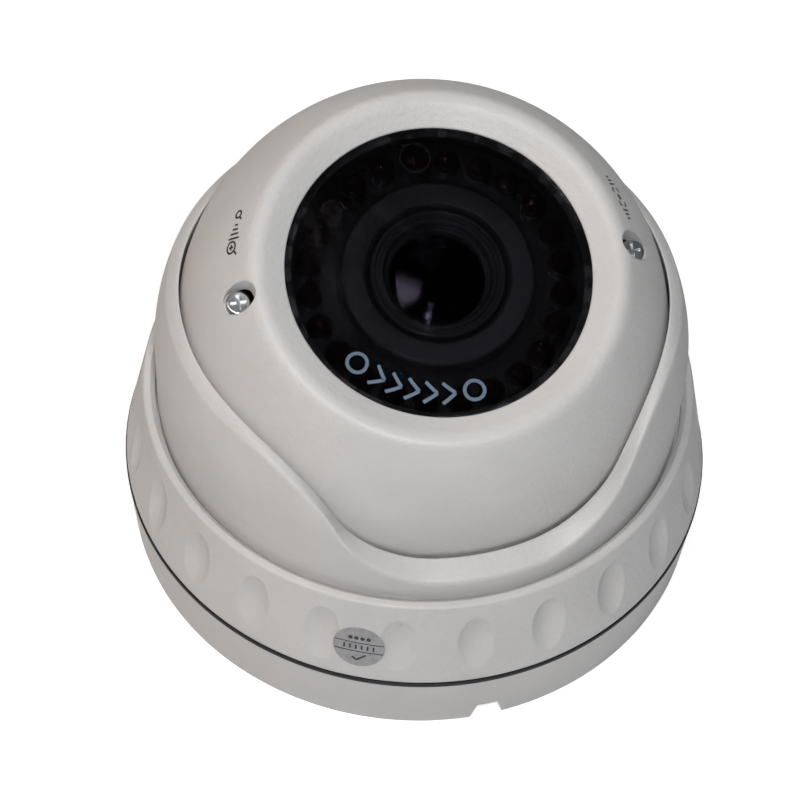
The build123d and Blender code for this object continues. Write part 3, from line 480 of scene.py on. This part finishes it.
def build_base():
    bottom, top = base_reach.low, base_reach.high
    hole, outer = base_reach.inner, base_reach.outer
    piece = turned("base_shell", BASE, [
        (hole, bottom, 0.3), (CORE_INNER, bottom, 0.3), (CORE_INNER, CORE_TOP, 0.5),
        (CORE_OUTER, CORE_TOP, 0.5), (CORE_OUTER, bottom, 0.2), (outer - BASE_BOTTOM_INSET, bottom, 0.5),
        (outer, BASE_WALL_TOP, 0.45), (BASE_NECK_RADIUS, BASE_WALL_TOP, 0.0),
        (BASE_NECK_RADIUS, top, 0.3), (BASE_NECK_BORE, top, 0.3), (BASE_NECK_BORE, BASE_FLOOR, 0.5),
        (hole, BASE_FLOOR, 0.3),
    ], coat_cut, "base", 360)
    angles = [math.radians(FIRST_FIXING + FIXING_STEP * i) for i in range(FIXING_COUNT)]
    spots = [(FIXING_CIRCLE * math.cos(a), FIXING_CIRCLE * math.sin(a)) for a in angles]
    for x, y in spots:
        edge = circle_points(x, y, PAD_RADIUS)
        pad = prism("pad", BASE, edge, BASE_FLOOR / 2, BASE_FLOOR + PAD_HEIGHT)
        boolean(piece, pad, "UNION")
    for x, y in spots:
        boolean(piece, prism("hole", BASE, circle_points(x, y, FIXING_HOLE), -1, 10))
    facing_front = Matrix.Rotation(math.radians(90), 4, "X")
    notch = [(-NOTCH_BOTTOM / 2, -0.5), (NOTCH_BOTTOM / 2, -0.5),
             (NOTCH_TOP / 2, NOTCH_HEIGHT), (-NOTCH_TOP / 2, NOTCH_HEIGHT)]
    boolean(piece, prism("notch", facing_front, notch, NOTCH_START, outer + 2))
    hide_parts("mount_base")


def build_ring_seal():
    seal = reach("ring_seal")
    piece = turned("seam_seal", BASE, [
        (seal.inner, seal.low, 0.0), (seal.outer + 0.05, seal.low, 0.2),
        (seal.outer + 0.05, seal.high, 0.2), (seal.inner, seal.high, 0.0),
    ], black_rubber, "base", 360)
    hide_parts("ring_seal")


# ------------------------------------------------------------------ locking ring


def ring_radius_at(height):
    """Outside radius of the ring's plain cone."""
    edge_start = ring_reach.high - RING_TOP_EDGE
    share = (height - ring_reach.low) / (edge_start - ring_reach.low)
    return ring_reach.outer + (RING_TOP_RADIUS - ring_reach.outer) * share


def dimple_depth(angle, height):
    """How far the finger dimples sink the ring's outside at a place."""
    pitch = FULL_TURN / DIMPLES
    off = (angle - DIMPLE_PHASE + pitch / 2) % pitch - pitch / 2
    across = off * ring_radius_at(height) / (DIMPLE_WIDTH / 2)
    along = (height - (ring_reach.low + ring_reach.high) / 2 + 0.2) / (DIMPLE_LENGTH / 2)
    inside = 1 - across**2 - along**2
    if inside <= 0:
        return 0.0
    rim = min(inside / 0.12, 1.0)
    return DIMPLE_DEPTH * inside * rim * (2 - rim)


def build_lock_ring():
    low, high, outer = ring_reach.low, ring_reach.high, ring_reach.outer
    wall_steps = 56
    bottom_edge, top_edge = low + 0.4, high - RING_TOP_EDGE
    rim = rounded([
        (ring_radius_at(top_edge), top_edge, 0.0), (RING_TOP_RADIUS - 0.25, high, 1.1),
        (RING_LIP_TOP, high, 0.3), (RING_LIP, high - 1.0, 0.2),
        (RING_LIP, high - RING_LIP_THICKNESS, 0.2),
        (RING_BORE, high - RING_LIP_THICKNESS, 0.0), (RING_BORE, low, 0.2), (outer - 0.4, low, 0.0),
    ], 7)

    def outline(angle):
        wall = []
        for k in range(wall_steps):
            height = bottom_edge + (top_edge - bottom_edge) * k / wall_steps
            wall.append((ring_radius_at(height) - dimple_depth(angle, height), height))
        return wall + [tuple(point) for point in rim]

    piece = lathe("ring_shell", BASE, outline, DIMPLES * 44, coat, "lock_ring", 50)
    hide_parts("lock_ring")


# ------------------------------------------------------------------ collar


def rim_height(across, top):
    """Height of the collar's rim across the dip, whose sides are two arcs that meet."""
    across = abs(across)
    if across <= DIP_FLAT:
        return DIP_HEIGHT
    if across >= DIP_HALF_WIDTH:
        return top
    run, rise = (DIP_HALF_WIDTH - DIP_FLAT) / 2, (top - DIP_HEIGHT) / 2
    bend = (run**2 + rise**2) / (2 * rise)
    if across <= DIP_FLAT + run:
        return DIP_HEIGHT + bend - math.sqrt(bend**2 - (across - DIP_FLAT) ** 2)
    return top - bend + math.sqrt(bend**2 - (DIP_HALF_WIDTH - across) ** 2)


def outer_wall(height):
    """Outside radius of the collar, which leans in above its shoulder."""
    if height <= COLLAR_SHOULDER:
        return COLLAR_WALL
    share = (height - COLLAR_SHOULDER) / (collar_reach.high - LIP_DROP - COLLAR_SHOULDER)
    return COLLAR_WALL - (COLLAR_WALL - COLLAR_TOP_RADIUS) * share**2


def build_collar():
    inner = ball_radius + BALL_GAP
    centre_height = ball_centre.z / MM
    bottom = collar_reach.low
    wall_steps, lip_steps = 26, 10

    def inside(height):
        return math.sqrt(inner**2 - (height - centre_height) ** 2)

    def outline(angle):
        behind = math.cos(angle) < 0
        fall = BACK_FALL * max(0.0, -math.cos(angle)) * COLLAR_WALL / base_reach.outer
        top = collar_reach.high - fall
        inner_top = top if behind else rim_height(inner * math.sin(angle), top)
        outer_top = top if behind else rim_height(COLLAR_WALL * math.sin(angle), top)
        outer_top -= LIP_DROP
        points = []
        for k in range(wall_steps):
            height = BORE_TOP + (inner_top - 0.25 - BORE_TOP) * k / wall_steps
            points.append((inside(height), height))
        start = Vector((inside(inner_top - 0.25), inner_top - 0.25))
        crown_in = Vector((inside(inner_top) + 0.3, inner_top))
        crown_out = Vector((outer_wall(outer_top) - 0.5, outer_top + 0.55))
        end = Vector((outer_wall(outer_top - 0.9), outer_top - 0.9))
        points += [start, start.lerp(crown_in, 0.6) + Vector((-0.03, 0.05)), crown_in]
        for k in range(1, lip_steps):
            t = k / lip_steps
            swell = 0.16 * math.sin(math.pi * t)
            points.append(crown_in.lerp(crown_out, t) + Vector((0, swell)))
        corner = Vector((outer_wall(outer_top), outer_top + 0.25))
        for k in range(6):
            t = k / 5
            points.append(crown_out * (1 - t) ** 2 + corner * 2 * t * (1 - t) + end * t**2)
        for k in range(1, wall_steps):
            height = end.y + (FLANGE_TOP - end.y) * k / wall_steps
            points.append((outer_wall(height), height))
        points += [
            (COLLAR_WALL, FLANGE_TOP), (collar_reach.outer, FLANGE_TOP), (collar_reach.outer, bottom),
            (COLLAR_BORE, bottom), (COLLAR_BORE, BORE_TOP - 0.1),
        ]
        return [tuple(point) for point in points]

    piece = lathe("collar_shell", BASE, outline, 720, coat, "collar", 50)
    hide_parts("collar")


# ------------------------------------------------------------------ ball


def build_ball_front():
    split = ball_reach.low
    glass_bottom = reach("front_glass", BALL).low
    glass_edge = reach("front_glass", BALL).outer
    inner = ball_radius - WALL

    def on_sphere(radius, height):
        return math.sqrt(radius**2 - height**2)

    shoulder_height = math.sqrt(ball_radius**2 - SHOULDER_RADIUS**2)
    steps = 60
    arc_top = math.asin(shoulder_height / ball_radius)
    arc_low = math.asin(split / ball_radius)
    soften = SHOULDER_ROUNDING / ball_radius
    outside = []
    for k in range(steps + 1):
        a = arc_low + (arc_top - soften - arc_low) * k / steps
        outside.append((ball_radius * math.cos(a), ball_radius * math.sin(a)))
    start = Vector(outside[-1])
    corner = Vector((SHOULDER_RADIUS, shoulder_height))
    window_edge = Vector((WINDOW_RADIUS, WINDOW_HEIGHT))
    end = corner + (window_edge - corner).normalized() * SHOULDER_ROUNDING
    funnel = []
    for k in range(1, 11):
        t = k / 10
        funnel.append(tuple(start * (1 - t) ** 2 + corner * 2 * t * (1 - t) + end * t**2))
    for k in range(1, 6):
        funnel.append(tuple(end.lerp(window_edge, k / 6)))
    throat = rounded([
        (WINDOW_RADIUS + 0.6, WINDOW_HEIGHT + 0.4, 0.0), (WINDOW_RADIUS, WINDOW_HEIGHT, 0.35),
        (WINDOW_RADIUS, WINDOW_HEIGHT - WINDOW_LIP, 0.1),
        (glass_edge + 0.2, WINDOW_HEIGHT - WINDOW_LIP, 0.0), (glass_edge + 0.2, glass_bottom, 0.1),
    ])[1:]
    inside = []
    inner_top = math.asin(glass_bottom / inner)
    inner_low = math.asin(split / inner)
    for k in range(steps + 1):
        a = inner_top + (inner_low - inner_top) * k / steps
        inside.append((inner * math.cos(a), inner * math.sin(a)))
    section = outside + funnel + [tuple(point) for point in throat] + inside
    piece = lathe("ball_shell", BALL, lambda angle: section, 360, coat_cut, "ball")
    for side in (-1, 1):
        x = side * adjuster_distance()
        boolean(piece, prism("pocket", BALL, circle_points(x, 0, POCKET_RADIUS, 64), POCKET_FLOOR, 50))
    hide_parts("ball_front")


def adjuster_distance():
    """Distance of the adjusters' axes from the lens axis, from their joint."""
    offset = Vector(joints["focus_adjuster_turn"]["pos_m"]) - ball_centre
    return offset.dot(side_axis) / MM


# ------------------------------------------------------------------ behind the window


def build_light_shield():
    shield = reach("light_shield", BALL)
    piece = turned("shield_ring", BALL, [
        (shield.inner, shield.low, 0.0), (shield.outer, shield.low, 0.0),
        (shield.outer, shield.high, 0.8), (shield.inner + 0.8, shield.high, 0.8),
        (shield.inner, shield.high - 1.6, 0.3),
    ], shield_rubber, "ball")
    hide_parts("light_shield")


def build_lens_barrel():
    """The barrel with the stepped rings that show round its front element."""
    barrel = reach("lens_barrel", BALL)
    top = barrel.high
    piece = turned("lens_tube", BALL, [
        (TUBE_BORE, barrel.low, 0.0), (barrel.outer, barrel.low, 0.3),
        (barrel.outer, barrel.low + TUBE_FLANGE, 0.3),
        (TUBE_RADIUS, barrel.low + TUBE_FLANGE, 0.2), (TUBE_RADIUS, top - 0.7, 0.0),
        (12.7, top, 0.25), (12.1, top, 0.25),
        (11.9, top - 0.7, 0.1), (11.3, top - 0.7, 0.1), (11.1, top - 0.2, 0.2), (10.5, top - 0.2, 0.3),
        (TUBE_MOUTH, top - 1.6, 0.1), (TUBE_BORE, top - 1.6, 0.0),
    ], lens_black, "ball")
    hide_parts("lens_barrel")


def build_front_element():
    element = reach("front_element", BALL)
    cell = reach("focus_cell", BALL)
    radius = element.outer
    curve = (radius**2 + LENS_SAG**2) / (2 * LENS_SAG)
    dome = []
    for k in range(20):
        out = radius * k / 19
        dome.append((out, element.high - curve + math.sqrt(curve**2 - out**2)))
    section = dome + [(radius, element.low), (0.0, element.low)]
    piece = lathe("front_lens", BALL, lambda angle: section, 128, lens_glass, "focus_group")
    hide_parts("front_element")
    retainer = turned("focus_tube", BALL, [
        (CELL_BORE, cell.low, 0.1), (cell.outer, cell.low, 0.2), (cell.outer, cell.high, 0.2),
        (CELL_MOUTH, cell.high, 0.2), (CELL_SEAT, cell.high - 0.7, 0.2),
        (CELL_SEAT, cell.high - CELL_SEAT_DEPTH, 0.0), (CELL_BORE, cell.high - CELL_SEAT_DEPTH, 0.1),
    ], lens_black, "focus_group")
    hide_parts("focus_cell")


def lamp_piece(name, x, y, radius, height, dome, material):
    """One domed lamp standing on the lamp board."""
    board_top = reach("lamp_board", BALL).high
    place = BALL @ Matrix.Translation(Vector((x, y, board_top)) * MM)
    section = [(radius + 0.25, 0.0), (radius + 0.25, 0.9), (radius, 1.0)]
    for k in range(9):
        a = math.pi / 2 * k / 8
        section.append((radius * math.cos(a), height - dome + dome * math.sin(a)))
    section.append((0.0, 0.0))
    return lathe(name, place, lambda angle: section, 32, material, "ball")


def build_lamps():
    """The ring of infrared lamps, with the photocell in the top place."""
    ring = reach("infrared_lamps", BALL)
    circle = ring.outer - LAMP_FOOT
    height = ring.high - ring.low
    for i in range(1, LAMP_PLACES):
        a = math.radians(90 + i * 360 / LAMP_PLACES)
        x, y = circle * math.cos(a), circle * math.sin(a)
        lamp_piece(f"lamp_{i:02d}", x, y, LAMP_RADIUS, height, LAMP_DOME, lamp_resin)
    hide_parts("infrared_lamps")
    cell = lamp_piece("light_sensor", 0, circle, SENSOR_RADIUS, SENSOR_HEIGHT, SENSOR_DOME, lamp_resin)
    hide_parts("photocell")
    place = BALL @ Matrix.Translation(Vector((0, circle, 0)) * MM)
    sleeve_top = ring.low + SLEEVE_HEIGHT
    sleeve = turned("light_sensor_sleeve", place, [
        (SLEEVE_BORE, ring.low, 0.0), (SLEEVE_RADIUS, ring.low, 0.0),
        (SLEEVE_RADIUS, sleeve_top, 0.15), (SLEEVE_BORE, sleeve_top, 0.15),
    ], shield_rubber, "ball", 64)


# ------------------------------------------------------------------ prints


def strokes_piece(name, strokes, surface, material, body, steps=6):
    """Printed strokes as thin closed ribbons. surface(x, y, lift) maps the flat drawing, in mm."""
    bm = bmesh.new()
    for (x0, y0), (x1, y1), width in strokes:
        along = Vector((x1 - x0, y1 - y0))
        across = Vector((-along.y, along.x)).normalized() * width / 2
        rows = []
        for k in range(steps + 1):
            middle = Vector((x0, y0)) + along * k / steps
            left, right = middle + across, middle - across
            rows.append([
                bm.verts.new(surface(left.x, left.y, PRINT_LIFT)),
                bm.verts.new(surface(left.x, left.y, PRINT_LIFT + PRINT_THICKNESS)),
                bm.verts.new(surface(right.x, right.y, PRINT_LIFT + PRINT_THICKNESS)),
                bm.verts.new(surface(right.x, right.y, PRINT_LIFT)),
            ])
        for a, b in zip(rows, rows[1:]):
            for j in range(4):
                k = (j + 1) % 4
                bm.faces.new((a[j], a[k], b[k], b[j]))
        bm.faces.new(rows[0])
        bm.faces.new(list(reversed(rows[-1])))
    return finished(name, bm, material, body, 80)


def arc_strokes(x, y, radius, start, end, width, count=14):
    """Short strokes along an arc, overlapping a little so that they read as one line."""
    strokes = []
    for k in range(count):
        a = math.radians(start + (end - start) * k / count)
        b = math.radians(start + (end - start) * (k + 1.15) / count)
        strokes.append(((x + radius * math.cos(a), y + radius * math.sin(a)),
                        (x + radius * math.cos(b), y + radius * math.sin(b)), width))
    return strokes


def chevron(x, size, width):
    return [((x - size * 0.3, size / 2), (x + size * 0.3, 0), width),
            ((x + size * 0.3, 0), (x - size * 0.3, -size / 2), width)]


def build_film_print():
    """Marks along an arc at the foot of the window: chevrons between two rings."""
    film_top = reach("protective_film", BALL).high
    radius, middle = FILM_PRINT_RADIUS, math.radians(FILM_PRINT_ANGLE)

    def surface(x, y, lift):
        a = middle + x / radius
        r = radius + y
        return BALL @ (Vector((r * math.cos(a), r * math.sin(a), film_top + lift)) * MM)

    width, height = 0.66, 4.5
    strokes = []
    for i in range(5):
        strokes += chevron(-6.8 + 3.4 * i, height * 0.9, width)
    for x in (-11.6, 11.6):
        strokes += arc_strokes(x, 0, 1.9, 0, 360, width)
    piece = strokes_piece("film_marks", strokes, surface, film_ink, "ball")


def ball_surface(angle_from_side, polar, scale):
    """Maps a flat drawing onto the ball about a point at an angle round the lens axis."""
    def surface(x, y, lift):
        x, y = x * scale, y * scale
        a = angle_from_side + x / (ball_radius * math.sin(polar))
        p = polar + y / ball_radius
        r = ball_radius + lift
        spot = Vector((math.sin(p) * math.cos(a), math.sin(p) * math.sin(a), math.cos(p)))
        return BALL @ (spot * r * MM)
    return surface


def build_adjuster_prints():
    """Small and large magnifier by the zoom screw; framing corners by the focus screw."""
    thin = 0.30
    zoom = arc_strokes(-3.1, 0.2, 0.62, 0, 360, thin) + [((-2.7, -0.25), (-2.2, -0.8), thin)]
    zoom += arc_strokes(2.4, 0.25, 0.95, 0, 360, thin, 20) + [((3.0, -0.45), (3.8, -1.1), thin)]
    zoom += [((1.95, 0.25), (2.85, 0.25), thin), ((2.4, -0.2), (2.4, 0.7), thin)]
    for i in range(4):
        tall = 0.35 + 0.28 * i
        zoom.append(((-1.3 + 0.75 * i, -tall), (-1.3 + 0.75 * i, tall), thin))
    surface = ball_surface(math.radians(ZOOM_PRINT_ANGLE), math.radians(ZOOM_PRINT_POLAR),
                           ADJUSTER_PRINT_SCALE)
    piece = strokes_piece("zoom_print", zoom, surface, black_ink, "ball")
    focus = []
    for sx in (-1, 1):
        for sy in (-1, 1):
            focus.append(((sx * 1.5, sy * 1.0), (sx * 0.8, sy * 1.0), thin))
            focus.append(((sx * 1.5, sy * 1.0), (sx * 1.5, sy * 0.45), thin))
    focus += arc_strokes(0, 0, 0.35, 0, 360, thin)
    for side in (-1, 1):
        for i in range(3):
            x = side * (2.35 + 0.7 * i)
            tall = 0.85 - 0.22 * i
            focus.append(((x, -tall), (x, tall), thin))
    surface = ball_surface(math.radians(FOCUS_PRINT_ANGLE), math.radians(FOCUS_PRINT_POLAR),
                           ADJUSTER_PRINT_SCALE)
    piece = strokes_piece("focus_print", focus, surface, black_ink, "ball")


def build_label():
    """The round foil inspection sticker: two rules, a tick and rows of plain marks."""
    low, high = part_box("inspection_label")
    middle = (low + high) / 2
    angle = math.atan2(middle.x, -middle.y)
    height = middle.z / MM
    radius = reach("inspection_label").high / 2 - reach("inspection_label").low / 2

    def surface(x, y, lift):
        z = height + y
        a = angle + x / ring_radius_at(z)
        r = ring_radius_at(z) + LABEL_LIFT + lift
        return Vector((r * math.sin(a), -r * math.cos(a), z)) * MM

    bm = bmesh.new()
    rings = 8
    sides = 96
    layers = []
    for lift in (-LABEL_LIFT / 2, LABEL_THICKNESS):
        centre = bm.verts.new(surface(0, 0, lift))
        circles = []
        for k in range(1, rings + 1):
            r = radius * k / rings
            circles.append([bm.verts.new(surface(x, y, lift)) for x, y in circle_points(0, 0, r, sides)])
        layers.append((centre, circles))
    for centre, circles in layers:
        for i in range(sides):
            j = (i + 1) % sides
            bm.faces.new((centre, circles[0][i], circles[0][j]))
            for inner, outer in zip(circles, circles[1:]):
                bm.faces.new((inner[i], outer[i], outer[j], inner[j]))
    for i in range(sides):
        j = (i + 1) % sides
        lower, upper = layers[0][1][-1], layers[1][1][-1]
        bm.faces.new((lower[i], lower[j], upper[j], upper[i]))
    disc = finished("sticker", bm, label_foil, "lock_ring")
    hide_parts("inspection_label")

    rule, thin = 0.16, 0.34
    chord = math.sqrt(radius**2 - 1.2**2) - 0.15
    marks = [((-chord, s * 1.15), (chord, s * 1.15), rule) for s in (-1, 1)]
    for i in range(6):
        x = -2.9 + 1.16 * i
        marks.append(((x, -0.55), (x, 0.55), thin))
    marks += [((-1.2, -2.7), (-0.3, -3.5), thin), ((-0.3, -3.5), (1.5, -1.9), thin)]
    for i in range(4):
        marks += arc_strokes(-1.8 + 1.2 * i, 2.4, 0.28, 0, 360, thin, 10)

    def above(x, y, lift):
        return surface(x, y, lift + LABEL_THICKNESS)

    piece = strokes_piece("sticker_marks", marks, above, label_ink, "lock_ring")


# ------------------------------------------------------------------ materials of the CAD nodes


def dress_nodes():
    """Gives each CAD node that stays its procedural material."""
    by_slot = {
        "coated_metal": coat, "clear_glass": window_glass, "film": film_clear,
        "black_rubber": black_rubber, "shield_rubber": shield_rubber, "nylon": nylon,
        "black_plastic": black_plastic, "lens_metal": lens_black, "optic_glass": lens_glass,
        "green_board": board_green, "black_board": board_black, "lamp_resin": lamp_resin,
        "sensor_ceramic": ceramic, "zinc_steel": zinc, "sheet_steel": sheet_steel, "brass": brass,
        "foil": label_foil, "filter_glass": filter_blue, "cable_jacket": cable_white,
    }
    for part in frame["record"]["subparts"]:
        node = frame["nodes"][part["node"]]
        node.data.materials.clear()
        node.data.materials.append(by_slot[part["material_slot"]])


# ------------------------------------------------------------------ floor, light and camera

FLOOR_HALF_LENGTH, FLOOR_HALF_WIDTH, FLOOR_SWEEP, FLOOR_WALL_TOP = 1.6, 2.5, 0.5, 2.0
FLOOR_DROP = 0.0001          # metres under the camera's mounting face
CAMERA_LENS, CAMERA_SENSOR = 126.8, 36.0
CAMERA_DISTANCE, CAMERA_AZIMUTH, CAMERA_ELEVATION, CAMERA_ROLL = 0.600, -17.6, 54.3, 3.3
CAMERA_AIM = (-3.4, 1.1, 28.6)
LIGHT_AIM_HEIGHT = 50
AMBIENT_STRENGTH = 0.12


def build_floor():
    bm = bmesh.new()
    steps = 12
    bend = FLOOR_HALF_LENGTH * 0.55
    profile = [(-FLOOR_HALF_LENGTH, 0.0), (bend, 0.0)]
    for k in range(1, steps + 1):
        a = math.pi / 2 * k / steps
        profile.append((bend + FLOOR_SWEEP * math.sin(a), FLOOR_SWEEP - FLOOR_SWEEP * math.cos(a)))
    profile.append((bend + FLOOR_SWEEP, FLOOR_WALL_TOP))
    sides = (-FLOOR_HALF_WIDTH, FLOOR_HALF_WIDTH)
    rows = [[bm.verts.new((x, y, z - FLOOR_DROP)) for x in sides] for y, z in profile]
    for a, b in zip(rows, rows[1:]):
        bm.faces.new((a[0], a[1], b[1], b[0]))
    nodes = Nodes("floor")
    cloud = nodes.noise(3.0, 2.0, 0.5)
    shade = nodes.ramp(cloud, (0.3, (0.78, 0.78, 0.78)), (0.7, (0.82, 0.82, 0.82)))
    rays = nodes.add("ShaderNodeLightPath")
    glow = nodes.scaled(rays.outputs["Is Camera Ray"], 0.0, 0.75)
    shader = nodes.surface(Base_Color=shade, Roughness=0.8, Emission_Color=shade,
                           Emission_Strength=glow)
    # From underneath the floor is clear, so that the camera's mounting face can be seen.
    split = nodes.add("ShaderNodeSeparateXYZ")
    nodes.link(nodes.add("ShaderNodeNewGeometry").outputs["Incoming"], split.inputs[0])
    below = nodes.add("ShaderNodeMath", operation="LESS_THAN")
    below.inputs[1].default_value = 0.0
    nodes.link(split.outputs["Z"], below.inputs[0])
    clear = nodes.add("ShaderNodeMixShader")
    nodes.link(below.outputs[0], clear.inputs["Fac"])
    nodes.link(shader.outputs[0], clear.inputs[1])
    nodes.link(nodes.add("ShaderNodeBsdfTransparent").outputs[0], clear.inputs[2])
    nodes.link(clear.outputs[0], nodes.output.inputs["Surface"])
    floor = finished("floor", bm, nodes.material, None)


def camera_matrix(distance, azimuth, elevation, aim, roll):
    """A camera placed round the origin, turned to look at aim, then rolled about its own axis."""
    a, e = math.radians(azimuth), math.radians(elevation)
    spot = Vector((math.sin(a) * math.cos(e), -math.cos(a) * math.cos(e), math.sin(e))) * distance
    turn = (aim - spot).to_track_quat("-Z", "Y").to_matrix().to_4x4()
    return Matrix.Translation(spot) @ turn @ Matrix.Rotation(math.radians(roll), 4, "Z")


def build_camera():
    data = bpy.data.cameras.new("camera")
    data.lens = CAMERA_LENS
    data.sensor_width = CAMERA_SENSOR
    data.clip_start = 0.01
    camera = bpy.data.objects.new("camera", data)
    aim = Vector(CAMERA_AIM) * MM
    camera.matrix_world = camera_matrix(
        CAMERA_DISTANCE, CAMERA_AZIMUTH, CAMERA_ELEVATION, aim, CAMERA_ROLL
    )
    bpy.context.scene.collection.objects.link(camera)
    bpy.context.scene.camera = camera


def area_light(name, azimuth, elevation, distance, size, power, colour=(1.0, 1.0, 1.0)):
    """A soft light pointed at the object from a direction."""
    data = bpy.data.lights.new(name, "AREA")
    data.size = size
    data.energy = power
    data.color = colour
    light = bpy.data.objects.new(name, data)
    aim = Vector((0, 0, LIGHT_AIM_HEIGHT)) * MM
    light.matrix_world = camera_matrix(distance, azimuth, elevation, aim, 0)
    bpy.context.scene.collection.objects.link(light)


def build_light():
    area_light("flash", -13, 56, 0.62, 0.045, 1.72, (0.965, 0.98, 1.0))
    area_light("top_softbox", -58, 68, 1.0, 0.25, 2.5, (1.0, 0.98, 0.95))
    area_light("left_softbox", -108, 32, 1.1, 0.5, 1.2, (1.0, 0.62, 0.36))
    area_light("back_softbox", 172, 52, 1.0, 0.45, 1.6, (0.98, 0.99, 1.0))
    world = bpy.data.worlds.new("studio")
    world.use_nodes = True
    tree = world.node_tree
    background = tree.nodes["Background"]
    background.inputs["Strength"].default_value = AMBIENT_STRENGTH
    where = tree.nodes.new("ShaderNodeTexCoord")
    split = tree.nodes.new("ShaderNodeSeparateXYZ")
    ramp = tree.nodes.new("ShaderNodeValToRGB")
    ramp.color_ramp.elements[0].position = 0.35
    ramp.color_ramp.elements[0].color = (0.95, 0.96, 1.0, 1.0)
    ramp.color_ramp.elements[1].position = 0.80
    ramp.color_ramp.elements[1].color = (0.02, 0.02, 0.02, 1.0)
    tree.links.new(where.outputs["Generated"], split.inputs[0])
    tree.links.new(split.outputs["Z"], ramp.inputs["Fac"])
    tree.links.new(ramp.outputs["Color"], background.inputs["Color"])
    bpy.context.scene.world = world
    bpy.context.scene.view_settings.view_transform = "Standard"


dress_nodes()
build_base()
build_ring_seal()
build_lock_ring()
build_collar()
build_ball_front()
build_light_shield()
build_lens_barrel()
build_front_element()
build_lamps()
build_film_print()
build_adjuster_prints()
build_label()
build_floor()
build_camera()
build_light()
